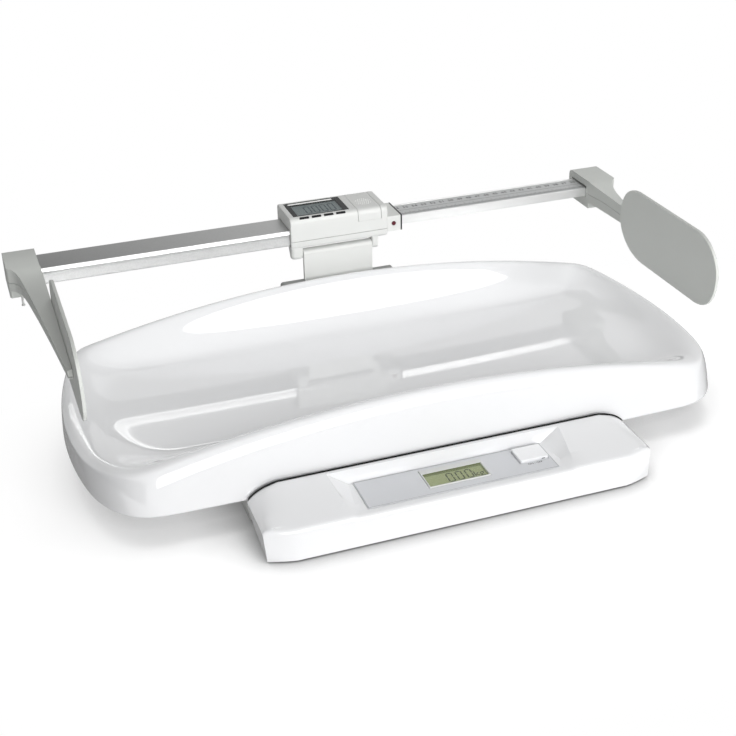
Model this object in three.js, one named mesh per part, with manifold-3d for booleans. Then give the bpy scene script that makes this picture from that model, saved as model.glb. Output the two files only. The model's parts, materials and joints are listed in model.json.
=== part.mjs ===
// Digital baby weighing scale: a base with a display console, a dished tray on
// a load cell, and a folding measuring rod with a sliding foot stop.
// Millimetres. +X runs to the right along the tray, +Y to the back, +Z up.
// Pieces are placed from the console's front (y = 0) and the tray's middle
// (x = 0), standing on z = 0. The group is moved to its own centre at the end.

import * as THREE from 'three';
import { mergeVertices } from 'three/addons/utils/BufferGeometryUtils.js';
import Module from 'manifold-3d';

const wasm = await Module();
wasm.setup();

// Driving dimensions

const gap = 0.3; // between pieces that touch
const slideGap = 0.5; // between pieces that slide on each other
const wall = 2.5; // moulded shells
const overrun = 6; // how far a cutter passes the face it cuts
const roundSteps = 4; // facets in a quarter turn
const turnSteps = 16; // sides of a round piece

const foot = { radius: 9, height: 3.7, standOff: 2, insetX: 18, insetY: 18, edge: 0.8, wall: 3 };

const base = {
  halfWidth: 168,
  front: 3,
  back: 290,
  top: 24,
  floor: 2.5,
  lipHeight: 8,
  corner: 14,
};

const consoleCover = {
  halfWidth: 170,
  halfShoulder: 146, // where the flat front and the flat back edge end
  shoulderRise: 1.9, // how much wider the end face is at its waist
  bow: 6.8, // front face ahead of the end corners
  depth: 48.5,
  waist: 27.5, // height of the end face
  frontEdge: 24,
  noseHeight: 30,
  noseRun: 6.5,
  height: 41,
  wireGap: 14,
  bendShares: [0.8, 0.25], // where the end's curve is pulled to: along, down
  noseShares: { lean: 0.25, run: 0.5, drop: 1 / 3 }, // the nose's lower edge, of bow, run and rise
};

const recess = {
  floor: 28.5,
  halfBack: 87.5,
  halfFront: 94,
  halfBackTop: 105, // at the height of the console's back edge
  halfFrontTop: 104,
  back: 43,
  backTop: 46,
};

const panel = { insetLeft: 3.5, insetRight: 2, insetBack: 1, depth: 38.8, thick: 0.7 };

const lcd = {
  left: -25.3,
  right: 25,
  fromBack: 11.8, // from the recess's back edge
  depth: 17.2,
  rimSide: 2.4,
  rimFront: 2.1,
  rimBack: 6.2,
  rimRise: 0.8,
  lens: 0.8,
  lensMargin: 0.8,
};

const weighButton = {
  fromRight: 15.5, // centre from the panel's right edge
  fromBack: 14.8, // and from the recess's back edge
  width: 26,
  depth: 19.8,
  rise: 2.7,
  flange: 1.2,
  flangeThick: 1.2,
  stem: 2.5,
  corner: 1.2,
  travel: 1.2,
};

const board = { thick: 1.6, top: 19, left: -62, right: 92, depth: 34, fromBack: 7.5, post: 3, inset: 6 };
const tactSwitch = { size: 6, height: 3.3, plunger: 1.6, plungerRise: 0.7 };

const battery = { radius: 7.1, length: 50, pitch: 15, count: 4, insetX: 22, front: 84 };
const batteryBox = { wall: 1.2, contact: 0.6, gapEnd: 1.6 };
const batteryDoor = { thick: 1.7, overlap: 3, travel: 6, padThick: 5 };

const loadCell = {
  length: 130,
  width: 12.7,
  height: 12.7,
  centreY: 197,
  boss: 3.3,
  spacerLength: 22,
  holeRadius: 4.2,
  holeSpacing: 22,
  postSize: 22,
  postHoleMargin: 4,
};
const screw = { radius: 2, headRadius: 3.6, headHeight: 2, fit: 0.25 };
const carrier = { halfLength: 112, halfDepth: 58, plate: 3, rib: 3, ribDepth: 4, corner: 16 };

const tray = {
  halfLength: 298,
  front: 49.5,
  back: 317.5,
  skirtFoot: 27.5,
  floor: 40.6,
  rim: 88, // height of the rim at the middle of the tray
  rimEnd: 46.5, // and at its ends
  endRise: 3.4, // the floor comes up a little at the ends
  flatHalf: 110, // half length of the level floor
  thick: 2.8,
  endBulge: 25, // how far the ends swell past their corners
  frontCorner: 46,
  backCorner: 24,
  frontBow: 3,
  cornerShare: 1 / 3, // a corner takes at most this much of the depth
};
// Distance of the rim's crest, and of the floor's edge, in from the skirt's foot
const trayCrest = { front: 18.5, back: 6.5, end: 9 };
const trayFloorEdge = { front: 74, back: 42, end: 46 };

const rod = {
  front: 325.4,
  depth: 33.3,
  bottom: 120.3,
  height: 16,
  wall: 1.6,
  right: 52.5,
  grooveDepth: 0.8,
  grooveShares: [0.2, 0.8],
  seat: 20, // length held inside a bracket head
};
const rodCap = { length: 14.4, gasket: 1.2, tongue: 14 };
const indexMark = { radius: 2.1, depth: 1.4 };
const innerRod = { height: 8.5, topGap: 0.9, sideGap: 0.45, length: 350, wall: 1.4 };
const scaleStrip = { thick: 0.4, inset: 1.5, groove: 0.3 };

const stopSpan = 563.4; // inner faces of the two arms, as the object stands
const leftArmFace = -287.7;

const bracket = {
  headWidth: 30.5,
  headOffset: 0.6,
  headFront: 323,
  headBack: 361,
  top: 143,
  bottom: 115,
  seam: 129,
  seamGap: 0.3,
  filletEnd: 288,
  armWidth: 18,
  armTopEnd: 317,
  armBottom: 121.5,
  armBottomStart: 321,
  tipY: 122,
  tipWidth: 4,
  tipTop: 133,
  tipBottom: 127,
  wall: 2.4,
  cornerCut: 3,
  filletShares: [[0.12, 0.2], [0.3, 0.55], [0.62, 0.85]], // out from arm to head, back from fillet to head
};

const paddle = {
  thick: 3,
  bottom: 100.3,
  top: 168.6,
  front: 79.4,
  back: 248.9,
  flatTopFront: 116.6,
  flatTopBack: 214.2,
  flatBottomFront: 113.2,
  flatBottomBack: 202.3,
  tongue: 7,
  tongueThick: 1.8,
  tongueFront: 165,
  tongueBack: 238,
  bendShares: { bottom: 0.55, low: 0.5, high: 0.75, top: 0.6 }, // pulls of the outline's curves
};

const hinge = { y: 328.2, z: 110, pin: 2, barrel: 5, rightKnuckle: 6.3 };
const hingePlate = { halfWidth: 35.7, front: 323.2, thick: 4, bottom: 45 };
const holder = {
  halfWidth: 59.2,
  front: 320.6,
  depth: 10,
  top: 81.2,
  bottom: 6,
  footHalf: 50,
  footTop: 23.5,
  slotFloor: 44.6,
  screwX: 35,
  screwDeep: 14,
  screwLength: 24,
  corner: 3,
};
const backBoss = { depth: 10, halfWidth: 9 };

const head = {
  left: -48.3,
  right: 52.5,
  front: 321.5,
  back: 369,
  bottom: 117.6,
  top: 149.5,
  round: 6,
  seam: 125.4,
  wall: 2.2,
  bottomRound: 4,
};
const headWindow = { left: -43.4, right: 14, front: 327.6, back: 364, thick: 1.2, ledge: 1.6 };
const headLcd = { margin: 4 };
const headBoard = { thick: 1.2, top: 140.4 };
const headButton = { count: 4, pitch: 12.5, length: 9.6, width: 3, rise: 0.7, sink: 2.2, leanDegrees: 63 };
const headDoor = { left: 21, right: 45.4, thick: 1.6, frontDrop: 6.5, lip: 1.6 };
const coin = { radius: 10, thick: 3.2, centreY: 346 };
const reader = { width: 16, depth: 14, slotMargin: 1 };
const headScrew = { x: 38, y: 363.5, radius: 1.2, headRadius: 2.2, headHeight: 1.2 };

const colours = {
  whiteGloss: [0xf7f7f8, 0.18, 0],
  whiteSatin: [0xf0f1ee, 0.4, 0],
  warmGrey: [0xacafaa, 0.5, 0],
  holderGrey: [0x9b9d9b, 0.5, 0],
  panelGrey: [0xc8cbce, 0.35, 0.3],
  green: [0x96a55a, 0.3, 0],
  smoke: [0x4d5653, 0.12, 0],
  black: [0x1b1c1d, 0.7, 0],
  rubber: [0x2a2a2b, 0.9, 0],
  red: [0x8c1c26, 0.4, 0],
  aluminium: [0xb9bcbd, 0.35, 0.9],
  steel: [0x9fa3a6, 0.3, 1],
  board: [0x2d6a3f, 0.6, 0],
  cell: [0xc9a24a, 0.35, 0.6],
  clear: [0xdfe8ea, 0.05, 0],
};

// Worked out from the driving dimensions

const rightArmFace = leftArmFace + stopSpan;
const rodTop = rod.bottom + rod.height;
const rodBack = rod.front + rod.depth;
const panelTop = recess.floor + gap + panel.thick;
const panelLeft = -recess.halfBack + panel.insetLeft;
const panelRight = recess.halfBack - panel.insetRight;
const panelBack = recess.back - panel.insetBack;
const lcdBack = recess.back - lcd.fromBack;
const lcdFront = lcdBack - lcd.depth;
const buttonX = panelRight - weighButton.fromRight;
const buttonY = recess.back - weighButton.fromBack;
const boardBack = consoleCover.depth - board.fromBack;
const boardFront = boardBack - board.depth;
const baseFloor = foot.standOff + base.floor;
const shellTop = baseFloor + base.lipHeight;
const shellEdge = wall + slideGap;
const screwHeight = (shellTop + gap + base.top) / 2; // middle of the bosses at the back of the base
const coverBack = consoleCover.depth + gap;
const cellBottom = baseFloor + loadCell.boss + gap;
const cellTop = cellBottom + loadCell.height;
const trayUnder = tray.floor - tray.thick;
const carrierTop = trayUnder - gap;
const carrierUnder = carrierTop - carrier.plate;
const cellEnd = loadCell.length / 2 - loadCell.spacerLength / 2;
const headCentre = (head.left + head.right) / 2;
const windowCentre = (headWindow.left + headWindow.right) / 2;
const innerTop = rodTop - rod.wall - innerRod.topGap;
const innerFront = rod.front + rod.wall + innerRod.sideGap;
const innerBack = rodBack - rod.wall - innerRod.sideGap;
const innerRight = rightArmFace + bracket.headOffset + rod.seat;

// Solids

function toSolid(geometry) {
  const bare = geometry.clone();
  bare.deleteAttribute('normal');
  bare.deleteAttribute('uv');
  const merged = mergeVertices(bare);
  return new wasm.Manifold(new wasm.Mesh({
    numProp: 3,
    vertProperties: new Float32Array(merged.attributes.position.array),
    triVerts: new Uint32Array(merged.index.array),
  }));
}

function toGeometry(solid) {
  const mesh = solid.getMesh();
  const geometry = new THREE.BufferGeometry();
  geometry.setAttribute('position', new THREE.BufferAttribute(mesh.vertProperties, 3));
  geometry.setIndex(new THREE.BufferAttribute(mesh.triVerts, 1));
  geometry.computeVertexNormals();
  return geometry;
}

// A block between two corners
function block(x0, x1, y0, y1, z0, z1) {
  const geometry = new THREE.BoxGeometry(x1 - x0, y1 - y0, z1 - z0);
  geometry.translate((x0 + x1) / 2, (y0 + y1) / 2, (z0 + z1) / 2);
  return toSolid(geometry);
}

function toShape(outline) {
  if (outline instanceof THREE.Shape) return outline;
  return new THREE.Shape(outline.map(([u, v]) => new THREE.Vector2(u, v)));
}

// A straight prism of an outline. On x the outline is (y, z), on y it is
// (x, z) and on z it is (x, y).
const prismAxes = {
  x: [new THREE.Vector3(0, 1, 0), new THREE.Vector3(0, 0, 1), new THREE.Vector3(1, 0, 0)],
  y: [new THREE.Vector3(1, 0, 0), new THREE.Vector3(0, 0, 1), new THREE.Vector3(0, -1, 0)],
  z: [new THREE.Vector3(1, 0, 0), new THREE.Vector3(0, 1, 0), new THREE.Vector3(0, 0, 1)],
};
function prism(axis, outline, from, to) {
  const geometry = new THREE.ExtrudeGeometry(toShape(outline), {
    depth: to - from,
    bevelEnabled: false,
    curveSegments: roundSteps,
  });
  geometry.applyMatrix4(new THREE.Matrix4().makeBasis(...prismAxes[axis]));
  const start = axis === 'y' ? to : from;
  geometry.translate(axis === 'x' ? start : 0, axis === 'y' ? start : 0, axis === 'z' ? start : 0);
  return toSolid(geometry);
}

// A rectangle with round corners
function rounded(u0, u1, v0, v1, radius) {
  const shape = new THREE.Shape();
  const quarter = Math.PI / 2;
  shape.absarc(u1 - radius, v0 + radius, radius, -quarter, 0, false);
  shape.absarc(u1 - radius, v1 - radius, radius, 0, quarter, false);
  shape.absarc(u0 + radius, v1 - radius, radius, quarter, 2 * quarter, false);
  shape.absarc(u0 + radius, v0 + radius, radius, 2 * quarter, 3 * quarter, false);
  return shape;
}

// A round bar along one axis, centred on the other two coordinates
function bar(axis, u, v, radius, from, to, sides = turnSteps) {
  const circle = [];
  for (let i = 0; i < sides; i += 1) {
    const turn = (2 * Math.PI * (i + 0.5)) / sides;
    circle.push([u + radius * Math.cos(turn), v + radius * Math.sin(turn)]);
  }
  return prism(axis, circle, from, to);
}

// A screw along Z with its head at the low end
function screwUp(x, y, from, to, size = screw) {
  const shank = bar('z', x, y, size.radius, from, to);
  return shank.add(bar('z', x, y, size.headRadius, from - size.headHeight, from));
}

// A closed skin through a row of rings that all have as many points. The
// first and last rings are flat and are capped, unless the row closes on itself.
function loft(rings, closedRow) {
  const count = rings[0].length;
  const positions = rings.flat().flatMap((p) => [p.x, p.y, p.z]);
  const faces = [];
  const rows = closedRow ? rings.length : rings.length - 1;
  for (let i = 0; i < rows; i += 1) {
    const here = i * count;
    const next = ((i + 1) % rings.length) * count;
    for (let j = 0; j < count; j += 1) {
      const k = (j + 1) % count;
      faces.push(here + j, here + k, next + k, here + j, next + k, next + j);
    }
  }
  if (!closedRow) {
    for (const end of [0, rings.length - 1]) {
      const flat = rings[end].map((p) => new THREE.Vector2(p.x, p.y));
      for (const [a, b, c] of THREE.ShapeUtils.triangulateShape(flat, [])) {
        const corner = end * count;
        if (end === 0) faces.push(corner + a, corner + c, corner + b);
        else faces.push(corner + a, corner + b, corner + c);
      }
    }
  }
  const geometry = new THREE.BufferGeometry();
  geometry.setAttribute('position', new THREE.Float32BufferAttribute(positions, 3));
  geometry.setIndex(faces);
  return toSolid(geometry);
}

const lerp = THREE.MathUtils.lerp;

// The object

const babyScale = new THREE.Group();
const parts = new THREE.Group();
babyScale.add(parts);

function piece(name, solid, colour) {
  const [color, roughness, metalness] = colours[colour];
  const material = new THREE.MeshStandardMaterial({ color, roughness, metalness });
  const mesh = new THREE.Mesh(toGeometry(solid), material);
  mesh.name = name;
  parts.add(mesh);
}

// Feet

const footPlaces = [];
for (const x of [-base.halfWidth + foot.insetX, base.halfWidth - foot.insetX]) {
  for (const y of [base.front + foot.insetY, base.back - foot.insetY]) footPlaces.push([x, y]);
}

function rubberFoot([x, y]) {
  const shapeOf = (radius, z0, z1) => bar('z', x, y, radius, z0, z1);
  return shapeOf(foot.radius - foot.edge, 0, foot.edge)
    .add(shapeOf(foot.radius, foot.edge, foot.height));
}
const footNames = ['foot_front_left', 'foot_back_left', 'foot_front_right', 'foot_back_right'];
footNames.forEach((name, i) => piece(name, rubberFoot(footPlaces[i]), 'rubber'));

// Console: the crossing of a side profile, a front profile and a plan. The
// inset makes the same form smaller, for the hollow inside.

function consoleForm(inset) {
  const c = consoleCover;
  const low = foot.standOff - (inset ? overrun : 0);
  const front = -c.bow + inset;
  const top = c.height - inset;
  const side = [
    [front, low],
    [front + c.noseShares.lean * (c.bow - inset), c.frontEdge],
    [front + c.noseShares.run * c.noseRun, lerp(c.noseHeight, c.frontEdge, c.noseShares.drop) - inset],
    [front + c.noseRun, c.noseHeight - inset],
    [c.depth - inset, top],
    [c.depth - inset, low],
  ];
  const half = c.halfWidth - inset;
  const shoulder = c.halfShoulder - inset / 2;
  const arc = new THREE.QuadraticBezierCurve(
    new THREE.Vector2(shoulder, top),
    new THREE.Vector2(lerp(shoulder, half, c.bendShares[0]), lerp(top, c.waist, c.bendShares[1])),
    new THREE.Vector2(half + c.shoulderRise, c.waist - inset / 2),
  ).getPoints(roundSteps).map((p) => [p.x, p.y]);
  const right = [[half, low], [half + c.shoulderRise, c.waist - inset / 2]];
  const frontView = [
    ...right,
    ...arc.reverse().slice(1),
    ...arc.reverse().map(([x, z]) => [-x, z]),
    ...right.reverse().slice(1).map(([x, z]) => [-x, z]),
  ];
  const plan = [
    [-half - c.shoulderRise, c.depth - inset],
    [-half, inset],
    [-c.halfShoulder, front],
    [c.halfShoulder, front],
    [half, inset],
    [half + c.shoulderRise, c.depth - inset],
  ];
  const wide = c.halfWidth + overrun;
  return prism('x', side, -wide, wide)
    .intersect(prism('y', frontView, -wide, wide))
    .intersect(prism('z', plan, low, c.height));
}

// The recess for the panel, wider at its top. Grown by the wall, it keeps the
// hollow clear of the recess.
function recessForm(grow) {
  const r = recess;
  const reach = (consoleCover.height + overrun - r.floor) / (consoleCover.height - r.floor);
  const ring = (halfFront, halfBack, back, z) => [
    new THREE.Vector3(-halfFront - grow, -consoleCover.bow - overrun, z),
    new THREE.Vector3(halfFront + grow, -consoleCover.bow - overrun, z),
    new THREE.Vector3(halfBack + grow, back + grow, z),
    new THREE.Vector3(-halfBack - grow, back + grow, z),
  ];
  return loft([
    ring(r.halfFront, r.halfBack, r.back, r.floor - grow),
    ring(lerp(r.halfFront, r.halfFrontTop, reach), lerp(r.halfBack, r.halfBackTop, reach),
      lerp(r.back, r.backTop, reach), consoleCover.height + overrun),
  ], false);
}

const buttonOuter = {
  left: buttonX - weighButton.width / 2,
  right: buttonX + weighButton.width / 2,
  front: buttonY - weighButton.depth / 2,
  back: buttonY + weighButton.depth / 2,
};
function buttonPrism(grow, z0, z1) {
  const b = buttonOuter;
  const outline = rounded(b.left - grow, b.right + grow, b.front - grow, b.back + grow,
    Math.max(weighButton.corner + grow, gap));
  return prism('z', outline, z0, z1);
}
function lcdBlock(side, front, back, z0, z1) {
  return block(lcd.left - side, lcd.right + side, lcdFront - front, lcdBack + back, z0, z1);
}

// The way from the console to the rest of the base: the shell's floor and lip
// run through it, and the wires above them
function throatBlock(y0, y1) {
  const half = base.halfWidth - shellEdge + gap;
  return block(-half, half, y0, y1, foot.standOff - overrun, baseFloor + consoleCover.wireGap);
}

function consoleCoverSolid() {
  const hollow = consoleForm(wall).subtract(recessForm(wall));
  const low = foot.standOff - overrun;
  const throat = throatBlock(consoleCover.depth - wall - overrun, consoleCover.depth + overrun);
  return consoleForm(0)
    .subtract(hollow)
    .subtract(recessForm(0))
    .subtract(throat)
    .subtract(lcdBlock(slideGap, slideGap, slideGap, low, consoleCover.height))
    .subtract(buttonPrism(slideGap, low, consoleCover.height));
}
piece('console_cover', consoleCoverSolid(), 'whiteGloss');

// Panel, display and button in the recess

const rim = { side: lcd.rimSide, front: lcd.rimFront, back: lcd.rimBack };

function panelSolid() {
  const z0 = recess.floor + gap;
  return block(panelLeft, panelRight, panelBack - panel.depth, panelBack, z0, panelTop)
    .subtract(lcdBlock(rim.side + gap, rim.front + gap, rim.back + gap, z0 - gap, panelTop + overrun))
    .subtract(buttonPrism(slideGap, z0 - gap, panelTop + overrun));
}
piece('display_panel', panelSolid(), 'panelGrey');

function lcdRim() {
  const z0 = recess.floor + gap;
  const top = panelTop + lcd.rimRise;
  return lcdBlock(rim.side, rim.front, rim.back, z0, top)
    .subtract(lcdBlock(0, 0, 0, z0 - overrun, top + overrun))
    .subtract(lcdBlock(lcd.lensMargin, lcd.lensMargin, lcd.lensMargin, top - lcd.lens - gap, top));
}
piece('display_bezel', lcdRim(), 'whiteGloss');

const lensTop = panelTop + lcd.rimRise;
const lensInset = lcd.lensMargin - gap;
piece('display_lens', lcdBlock(lensInset, lensInset, lensInset, lensTop - lcd.lens, lensTop), 'clear');

piece('display_module', lcdBlock(0, 0, 0, board.top + gap, recess.floor + gap), 'green');

const buttonTop = panelTop + weighButton.rise;
const recessUnder = recess.floor - wall;
const flangeTop = recessUnder - gap;
const switchTop = board.top + gap + tactSwitch.height;
function weighButtonSolid() {
  const flangeLow = flangeTop - weighButton.flangeThick;
  const stemLow = switchTop + weighButton.travel + gap;
  const hollowTop = panelTop;
  return buttonPrism(0, flangeLow, buttonTop)
    .add(buttonPrism(weighButton.flange, flangeLow, flangeTop))
    .subtract(buttonPrism(-wall, flangeLow - overrun, hollowTop))
    .add(bar('z', buttonX, buttonY, weighButton.stem, stemLow, hollowTop + gap));
}
piece('weigh_button', weighButtonSolid(), 'whiteGloss');

// Boards and switch

const boardLow = board.top - board.thick;
const boardPosts = [
  [board.left + board.inset, boardFront + board.inset],
  [board.right - board.inset, boardFront + board.inset],
  [board.left + board.inset, boardBack - board.inset],
  [board.right - board.inset, boardBack - board.inset],
];
piece('main_board', block(board.left, board.right, boardFront, boardBack, boardLow, board.top), 'board');

function switchSolid() {
  const [x, y] = [buttonX, buttonY];
  const half = tactSwitch.size / 2;
  const low = board.top + gap;
  const bodyTop = low + tactSwitch.height - tactSwitch.plungerRise;
  return block(x - half, x + half, y - half, y + half, low, bodyTop)
    .add(bar('z', x, y, tactSwitch.plunger, low, switchTop));
}
piece('button_switch', switchSolid(), 'black');

// Base: floor shell, cover behind the console, battery bay

const bay = {
  left: -base.halfWidth + battery.insetX,
  right: -base.halfWidth + battery.insetX + battery.length + 2 * batteryBox.gapEnd,
  front: battery.front,
  back: battery.front + battery.count * battery.pitch,
};
const doorTop = foot.standOff + gap + batteryDoor.thick;
const cellHoleX = cellEnd;

function screwHole(x, y, z0, z1, size = screw) {
  return bar('z', x, y, size.radius + size.fit, z0, z1);
}
function headHole(x, y, z0, z1, size = screw) {
  return bar('z', x, y, size.headRadius + size.fit, z0, z1);
}

function lowerShell() {
  const half = base.halfWidth - shellEdge;
  const front = base.front;
  const back = base.back - shellEdge;
  const outline = (inset) => rounded(-half + inset, half - inset, front + inset, back - inset,
    base.corner - inset);
  let shell = prism('z', outline(0), foot.standOff, shellTop)
    .subtract(prism('z', outline(wall), baseFloor, shellTop + overrun));
  for (const [x, y] of footPlaces) {
    shell = shell.add(bar('z', x, y, foot.radius + foot.wall, foot.standOff, foot.height + foot.wall));
    shell = shell.subtract(bar('z', x, y, foot.radius + gap, foot.standOff - overrun, foot.height + gap));
  }
  for (const [x, y] of boardPosts) {
    shell = shell.add(bar('z', x, y, board.post, foot.standOff, boardLow - gap));
  }
  const slide = batteryDoor.travel + batteryDoor.overlap;
  const pad = doorTop + gap;
  shell = shell
    .add(block(bay.left - slide - wall, bay.left, bay.front - wall, bay.back + wall,
      foot.standOff, foot.standOff + batteryDoor.padThick))
    .subtract(block(bay.left, bay.right, bay.front, bay.back, foot.standOff - overrun, shellTop))
    .subtract(block(bay.left - slide, bay.right + batteryDoor.overlap, bay.front - gap, bay.back + gap,
      foot.standOff - overrun, pad));
  const y = loadCell.centreY;
  const halfBoss = loadCell.spacerLength / 2;
  return shell
    .add(block(-cellHoleX - halfBoss, -cellHoleX + halfBoss, y - halfBoss, y + halfBoss,
      foot.standOff, cellBottom - gap))
    .subtract(screwHole(-cellHoleX, y, foot.standOff - overrun, shellTop))
    .subtract(headHole(-cellHoleX, y, foot.standOff - overrun, baseFloor - gap));
}
piece('base_shell', lowerShell(), 'whiteSatin');

function batteryDoorSolid() {
  const low = foot.standOff + gap;
  const { overlap } = batteryDoor;
  const plate = block(bay.left - overlap + gap, bay.right + overlap - gap,
    bay.front, bay.back, low, doorTop);
  const grip = block(bay.right - overlap, bay.right, bay.front + battery.pitch, bay.back - battery.pitch,
    low - overrun, low + batteryDoor.thick / 2);
  return plate.subtract(grip);
}
piece('battery_door', batteryDoorSolid(), 'whiteSatin');

const cellLow = doorTop + gap;
const cellAxis = cellLow + battery.radius;
for (let i = 0; i < battery.count; i += 1) {
  const y = bay.front + battery.pitch * (i + 0.5);
  const start = bay.left + batteryBox.gapEnd;
  const nub = battery.radius / 3;
  const cell = bar('x', y, cellAxis, battery.radius, start, start + battery.length - nub / 2)
    .add(bar('x', y, cellAxis, nub, start, start + battery.length));
  piece(`battery_${i + 1}`, cell, 'cell');
}

function batteryHousing() {
  const w = batteryBox.wall;
  const low = baseFloor + gap;
  const top = cellAxis + battery.radius + gap + w;
  return block(bay.left - w, bay.right + w, bay.front - w, bay.back + w, low, top)
    .subtract(block(bay.left, bay.right, bay.front, bay.back, low - overrun, top - w));
}
piece('battery_housing', batteryHousing().subtract(
  block(bay.left - wall, bay.left + gap, bay.front - wall, bay.back + wall,
    baseFloor, foot.standOff + batteryDoor.padThick + gap),
), 'black');

for (const [name, x] of [
  ['battery_contact_left', bay.left + gap],
  ['battery_contact_right', bay.right - gap - batteryBox.contact],
]) {
  const contact = block(x, x + batteryBox.contact, bay.front + wall, bay.back - wall,
    cellAxis - battery.radius / 2, cellAxis + battery.radius / 2);
  piece(name, contact, 'steel');
}

const postHole = loadCell.postSize / 2 + loadCell.postHoleMargin;
function coverSolid() {
  const half = base.halfWidth;
  const outline = (inset) => rounded(-half + inset, half - inset, coverBack + inset, base.back - inset,
    base.corner - inset);
  let cover = prism('z', outline(0), foot.standOff + gap, base.top)
    .subtract(prism('z', outline(wall), foot.standOff - overrun, base.top - wall));
  cover = cover.subtract(throatBlock(coverBack - overrun, coverBack + base.corner));
  for (const x of [-holder.screwX, holder.screwX]) {
    cover = cover
      .add(block(x - backBoss.halfWidth, x + backBoss.halfWidth, base.back - backBoss.depth, base.back,
        shellTop + gap, base.top))
      .subtract(bar('y', x, screwHeight, screw.radius + screw.fit,
        base.back - backBoss.depth + wall, base.back + overrun));
  }
  const y = loadCell.centreY;
  return cover.subtract(block(cellHoleX - postHole, cellHoleX + postHole, y - postHole, y + postHole,
    base.top - wall - overrun, base.top + overrun));
}

// Load cell with its spacers, and the carrier that holds the tray

function loadCellSolid() {
  const y = loadCell.centreY;
  const half = loadCell.length / 2;
  const mid = (cellBottom + cellTop) / 2;
  const yFront = y - loadCell.width / 2;
  const yBack = y + loadCell.width / 2;
  let cell = block(-half, half, yFront, yBack, cellBottom, cellTop);
  for (const x of [-loadCell.holeSpacing / 2, loadCell.holeSpacing / 2]) {
    cell = cell.subtract(bar('y', x, mid, loadCell.holeRadius, yFront - overrun, yBack + overrun));
  }
  const slot = loadCell.holeRadius / 3;
  cell = cell.subtract(block(-loadCell.holeSpacing / 2, loadCell.holeSpacing / 2, yFront - overrun,
    yBack + overrun, mid - slot, mid + slot));
  for (const x of [-cellHoleX, cellHoleX]) {
    cell = cell.subtract(screwHole(x, y, cellBottom - overrun, cellTop + overrun));
  }
  return cell;
}
piece('load_cell', loadCellSolid(), 'aluminium');

const halfSpacer = loadCell.spacerLength / 2;
const halfCell = loadCell.width / 2;
const cellY = loadCell.centreY;
piece('load_cell_post', block(cellHoleX - halfSpacer, cellHoleX + halfSpacer, cellY - halfCell,
  cellY + halfCell, cellTop + gap, carrierUnder - gap)
  .subtract(screwHole(cellHoleX, cellY, 0, carrierTop)), 'aluminium');
piece('load_cell_base_screw', screwUp(-cellHoleX, cellY, baseFloor - gap, cellTop - wall), 'steel');

function carrierScrew() {
  const top = carrierTop - gap;
  return bar('z', cellHoleX, cellY, screw.radius, cellBottom + wall, top)
    .add(bar('z', cellHoleX, cellY, screw.headRadius, top - screw.headHeight, top));
}
piece('carrier_screw', carrierScrew(), 'steel');

function carrierSolid() {
  const c = carrier;
  const outline = (inset) => rounded(-c.halfLength + inset, c.halfLength - inset,
    cellY - c.halfDepth + inset, cellY + c.halfDepth - inset, c.corner - inset);
  const low = carrierUnder - c.ribDepth;
  const ring = prism('z', outline(0), low, carrierTop)
    .subtract(prism('z', outline(c.rib), low - overrun, carrierUnder));
  return ring
    .subtract(screwHole(cellHoleX, cellY, low, carrierTop + overrun))
    .subtract(headHole(cellHoleX, cellY, carrierTop - gap - screw.headHeight - gap, carrierTop + overrun));
}
piece('tray_carrier', carrierSolid(), 'aluminium');

// Tray. Three outlines in plan carry it: the skirt's foot, the rim's crest and
// the edge of the floor. The wall's curves say how far it is from one to the
// next, and how high.

function trayOutline(inset) {
  const t = tray;
  const front = t.front + inset.front;
  const back = t.back - inset.back;
  const half = t.halfLength - inset.end;
  const middle = (front + back) / 2;
  const bulge = (y) => half - t.endBulge * Math.pow(Math.abs(y - middle) / (middle - front), 2);
  const frontCorner = Math.min(t.frontCorner, t.cornerShare * (back - front));
  const backCorner = Math.min(t.backCorner, t.cornerShare * (back - front));
  const edge = (u, y, sign) => y + sign * t.frontBow * Math.pow(u, 2);
  const right = [];
  const frontEnd = bulge(front + frontCorner) - frontCorner;
  const backEnd = bulge(back - backCorner) - backCorner;
  const steps = { edge: 7, corner: 4, end: 8 };
  for (let i = 0; i < steps.edge; i += 1) {
    const u = i / steps.edge;
    right.push([u * frontEnd, edge(u, front, 1)]);
  }
  const corner = (from, via, to) => new THREE.QuadraticBezierCurve(
    new THREE.Vector2(...from), new THREE.Vector2(...via), new THREE.Vector2(...to),
  ).getPoints(steps.corner).slice(0, -1).map((p) => [p.x, p.y]);
  const low = front + frontCorner;
  const high = back - backCorner;
  right.push(...corner([frontEnd, edge(1, front, 1)], [bulge(front), edge(1, front, 1)], [bulge(low), low]));
  for (let i = 0; i < steps.end; i += 1) {
    const y = lerp(low, high, i / steps.end);
    right.push([bulge(y), y]);
  }
  right.push(...corner([bulge(high), high], [bulge(back), edge(1, back, -1)], [backEnd, edge(1, back, -1)]));
  for (let i = 0; i <= steps.edge; i += 1) {
    const u = 1 - i / steps.edge;
    right.push([u * backEnd, edge(u, back, -1)]);
  }
  const left = right.slice(1, -1).reverse().map(([x, y]) => [-x, y]);
  return [...right, ...left];
}

const noInset = { front: 0, back: 0, end: 0 };
const skinInset = { front: tray.thick, back: tray.thick, end: tray.thick };
const outlines = {
  foot: trayOutline(noInset),
  footInside: trayOutline(skinInset),
  crest: trayOutline(trayCrest),
  floor: trayOutline(trayFloorEdge),
};

const rimHeight = (x) => tray.rim - (tray.rim - tray.rimEnd) * Math.pow(x / tray.halfLength, 2);
function floorHeight(x) {
  const past = Math.max(0, Math.abs(x) - tray.flatHalf);
  return tray.floor + tray.endRise * Math.pow(past / (tray.halfLength - tray.flatHalf), 2);
}

function trayRing(from, to, share, height) {
  return from.map(([x, y], i) => {
    const [u, v] = to[i];
    const px = lerp(x, u, share);
    return new THREE.Vector3(px, lerp(y, v, share), height(px));
  });
}

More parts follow.
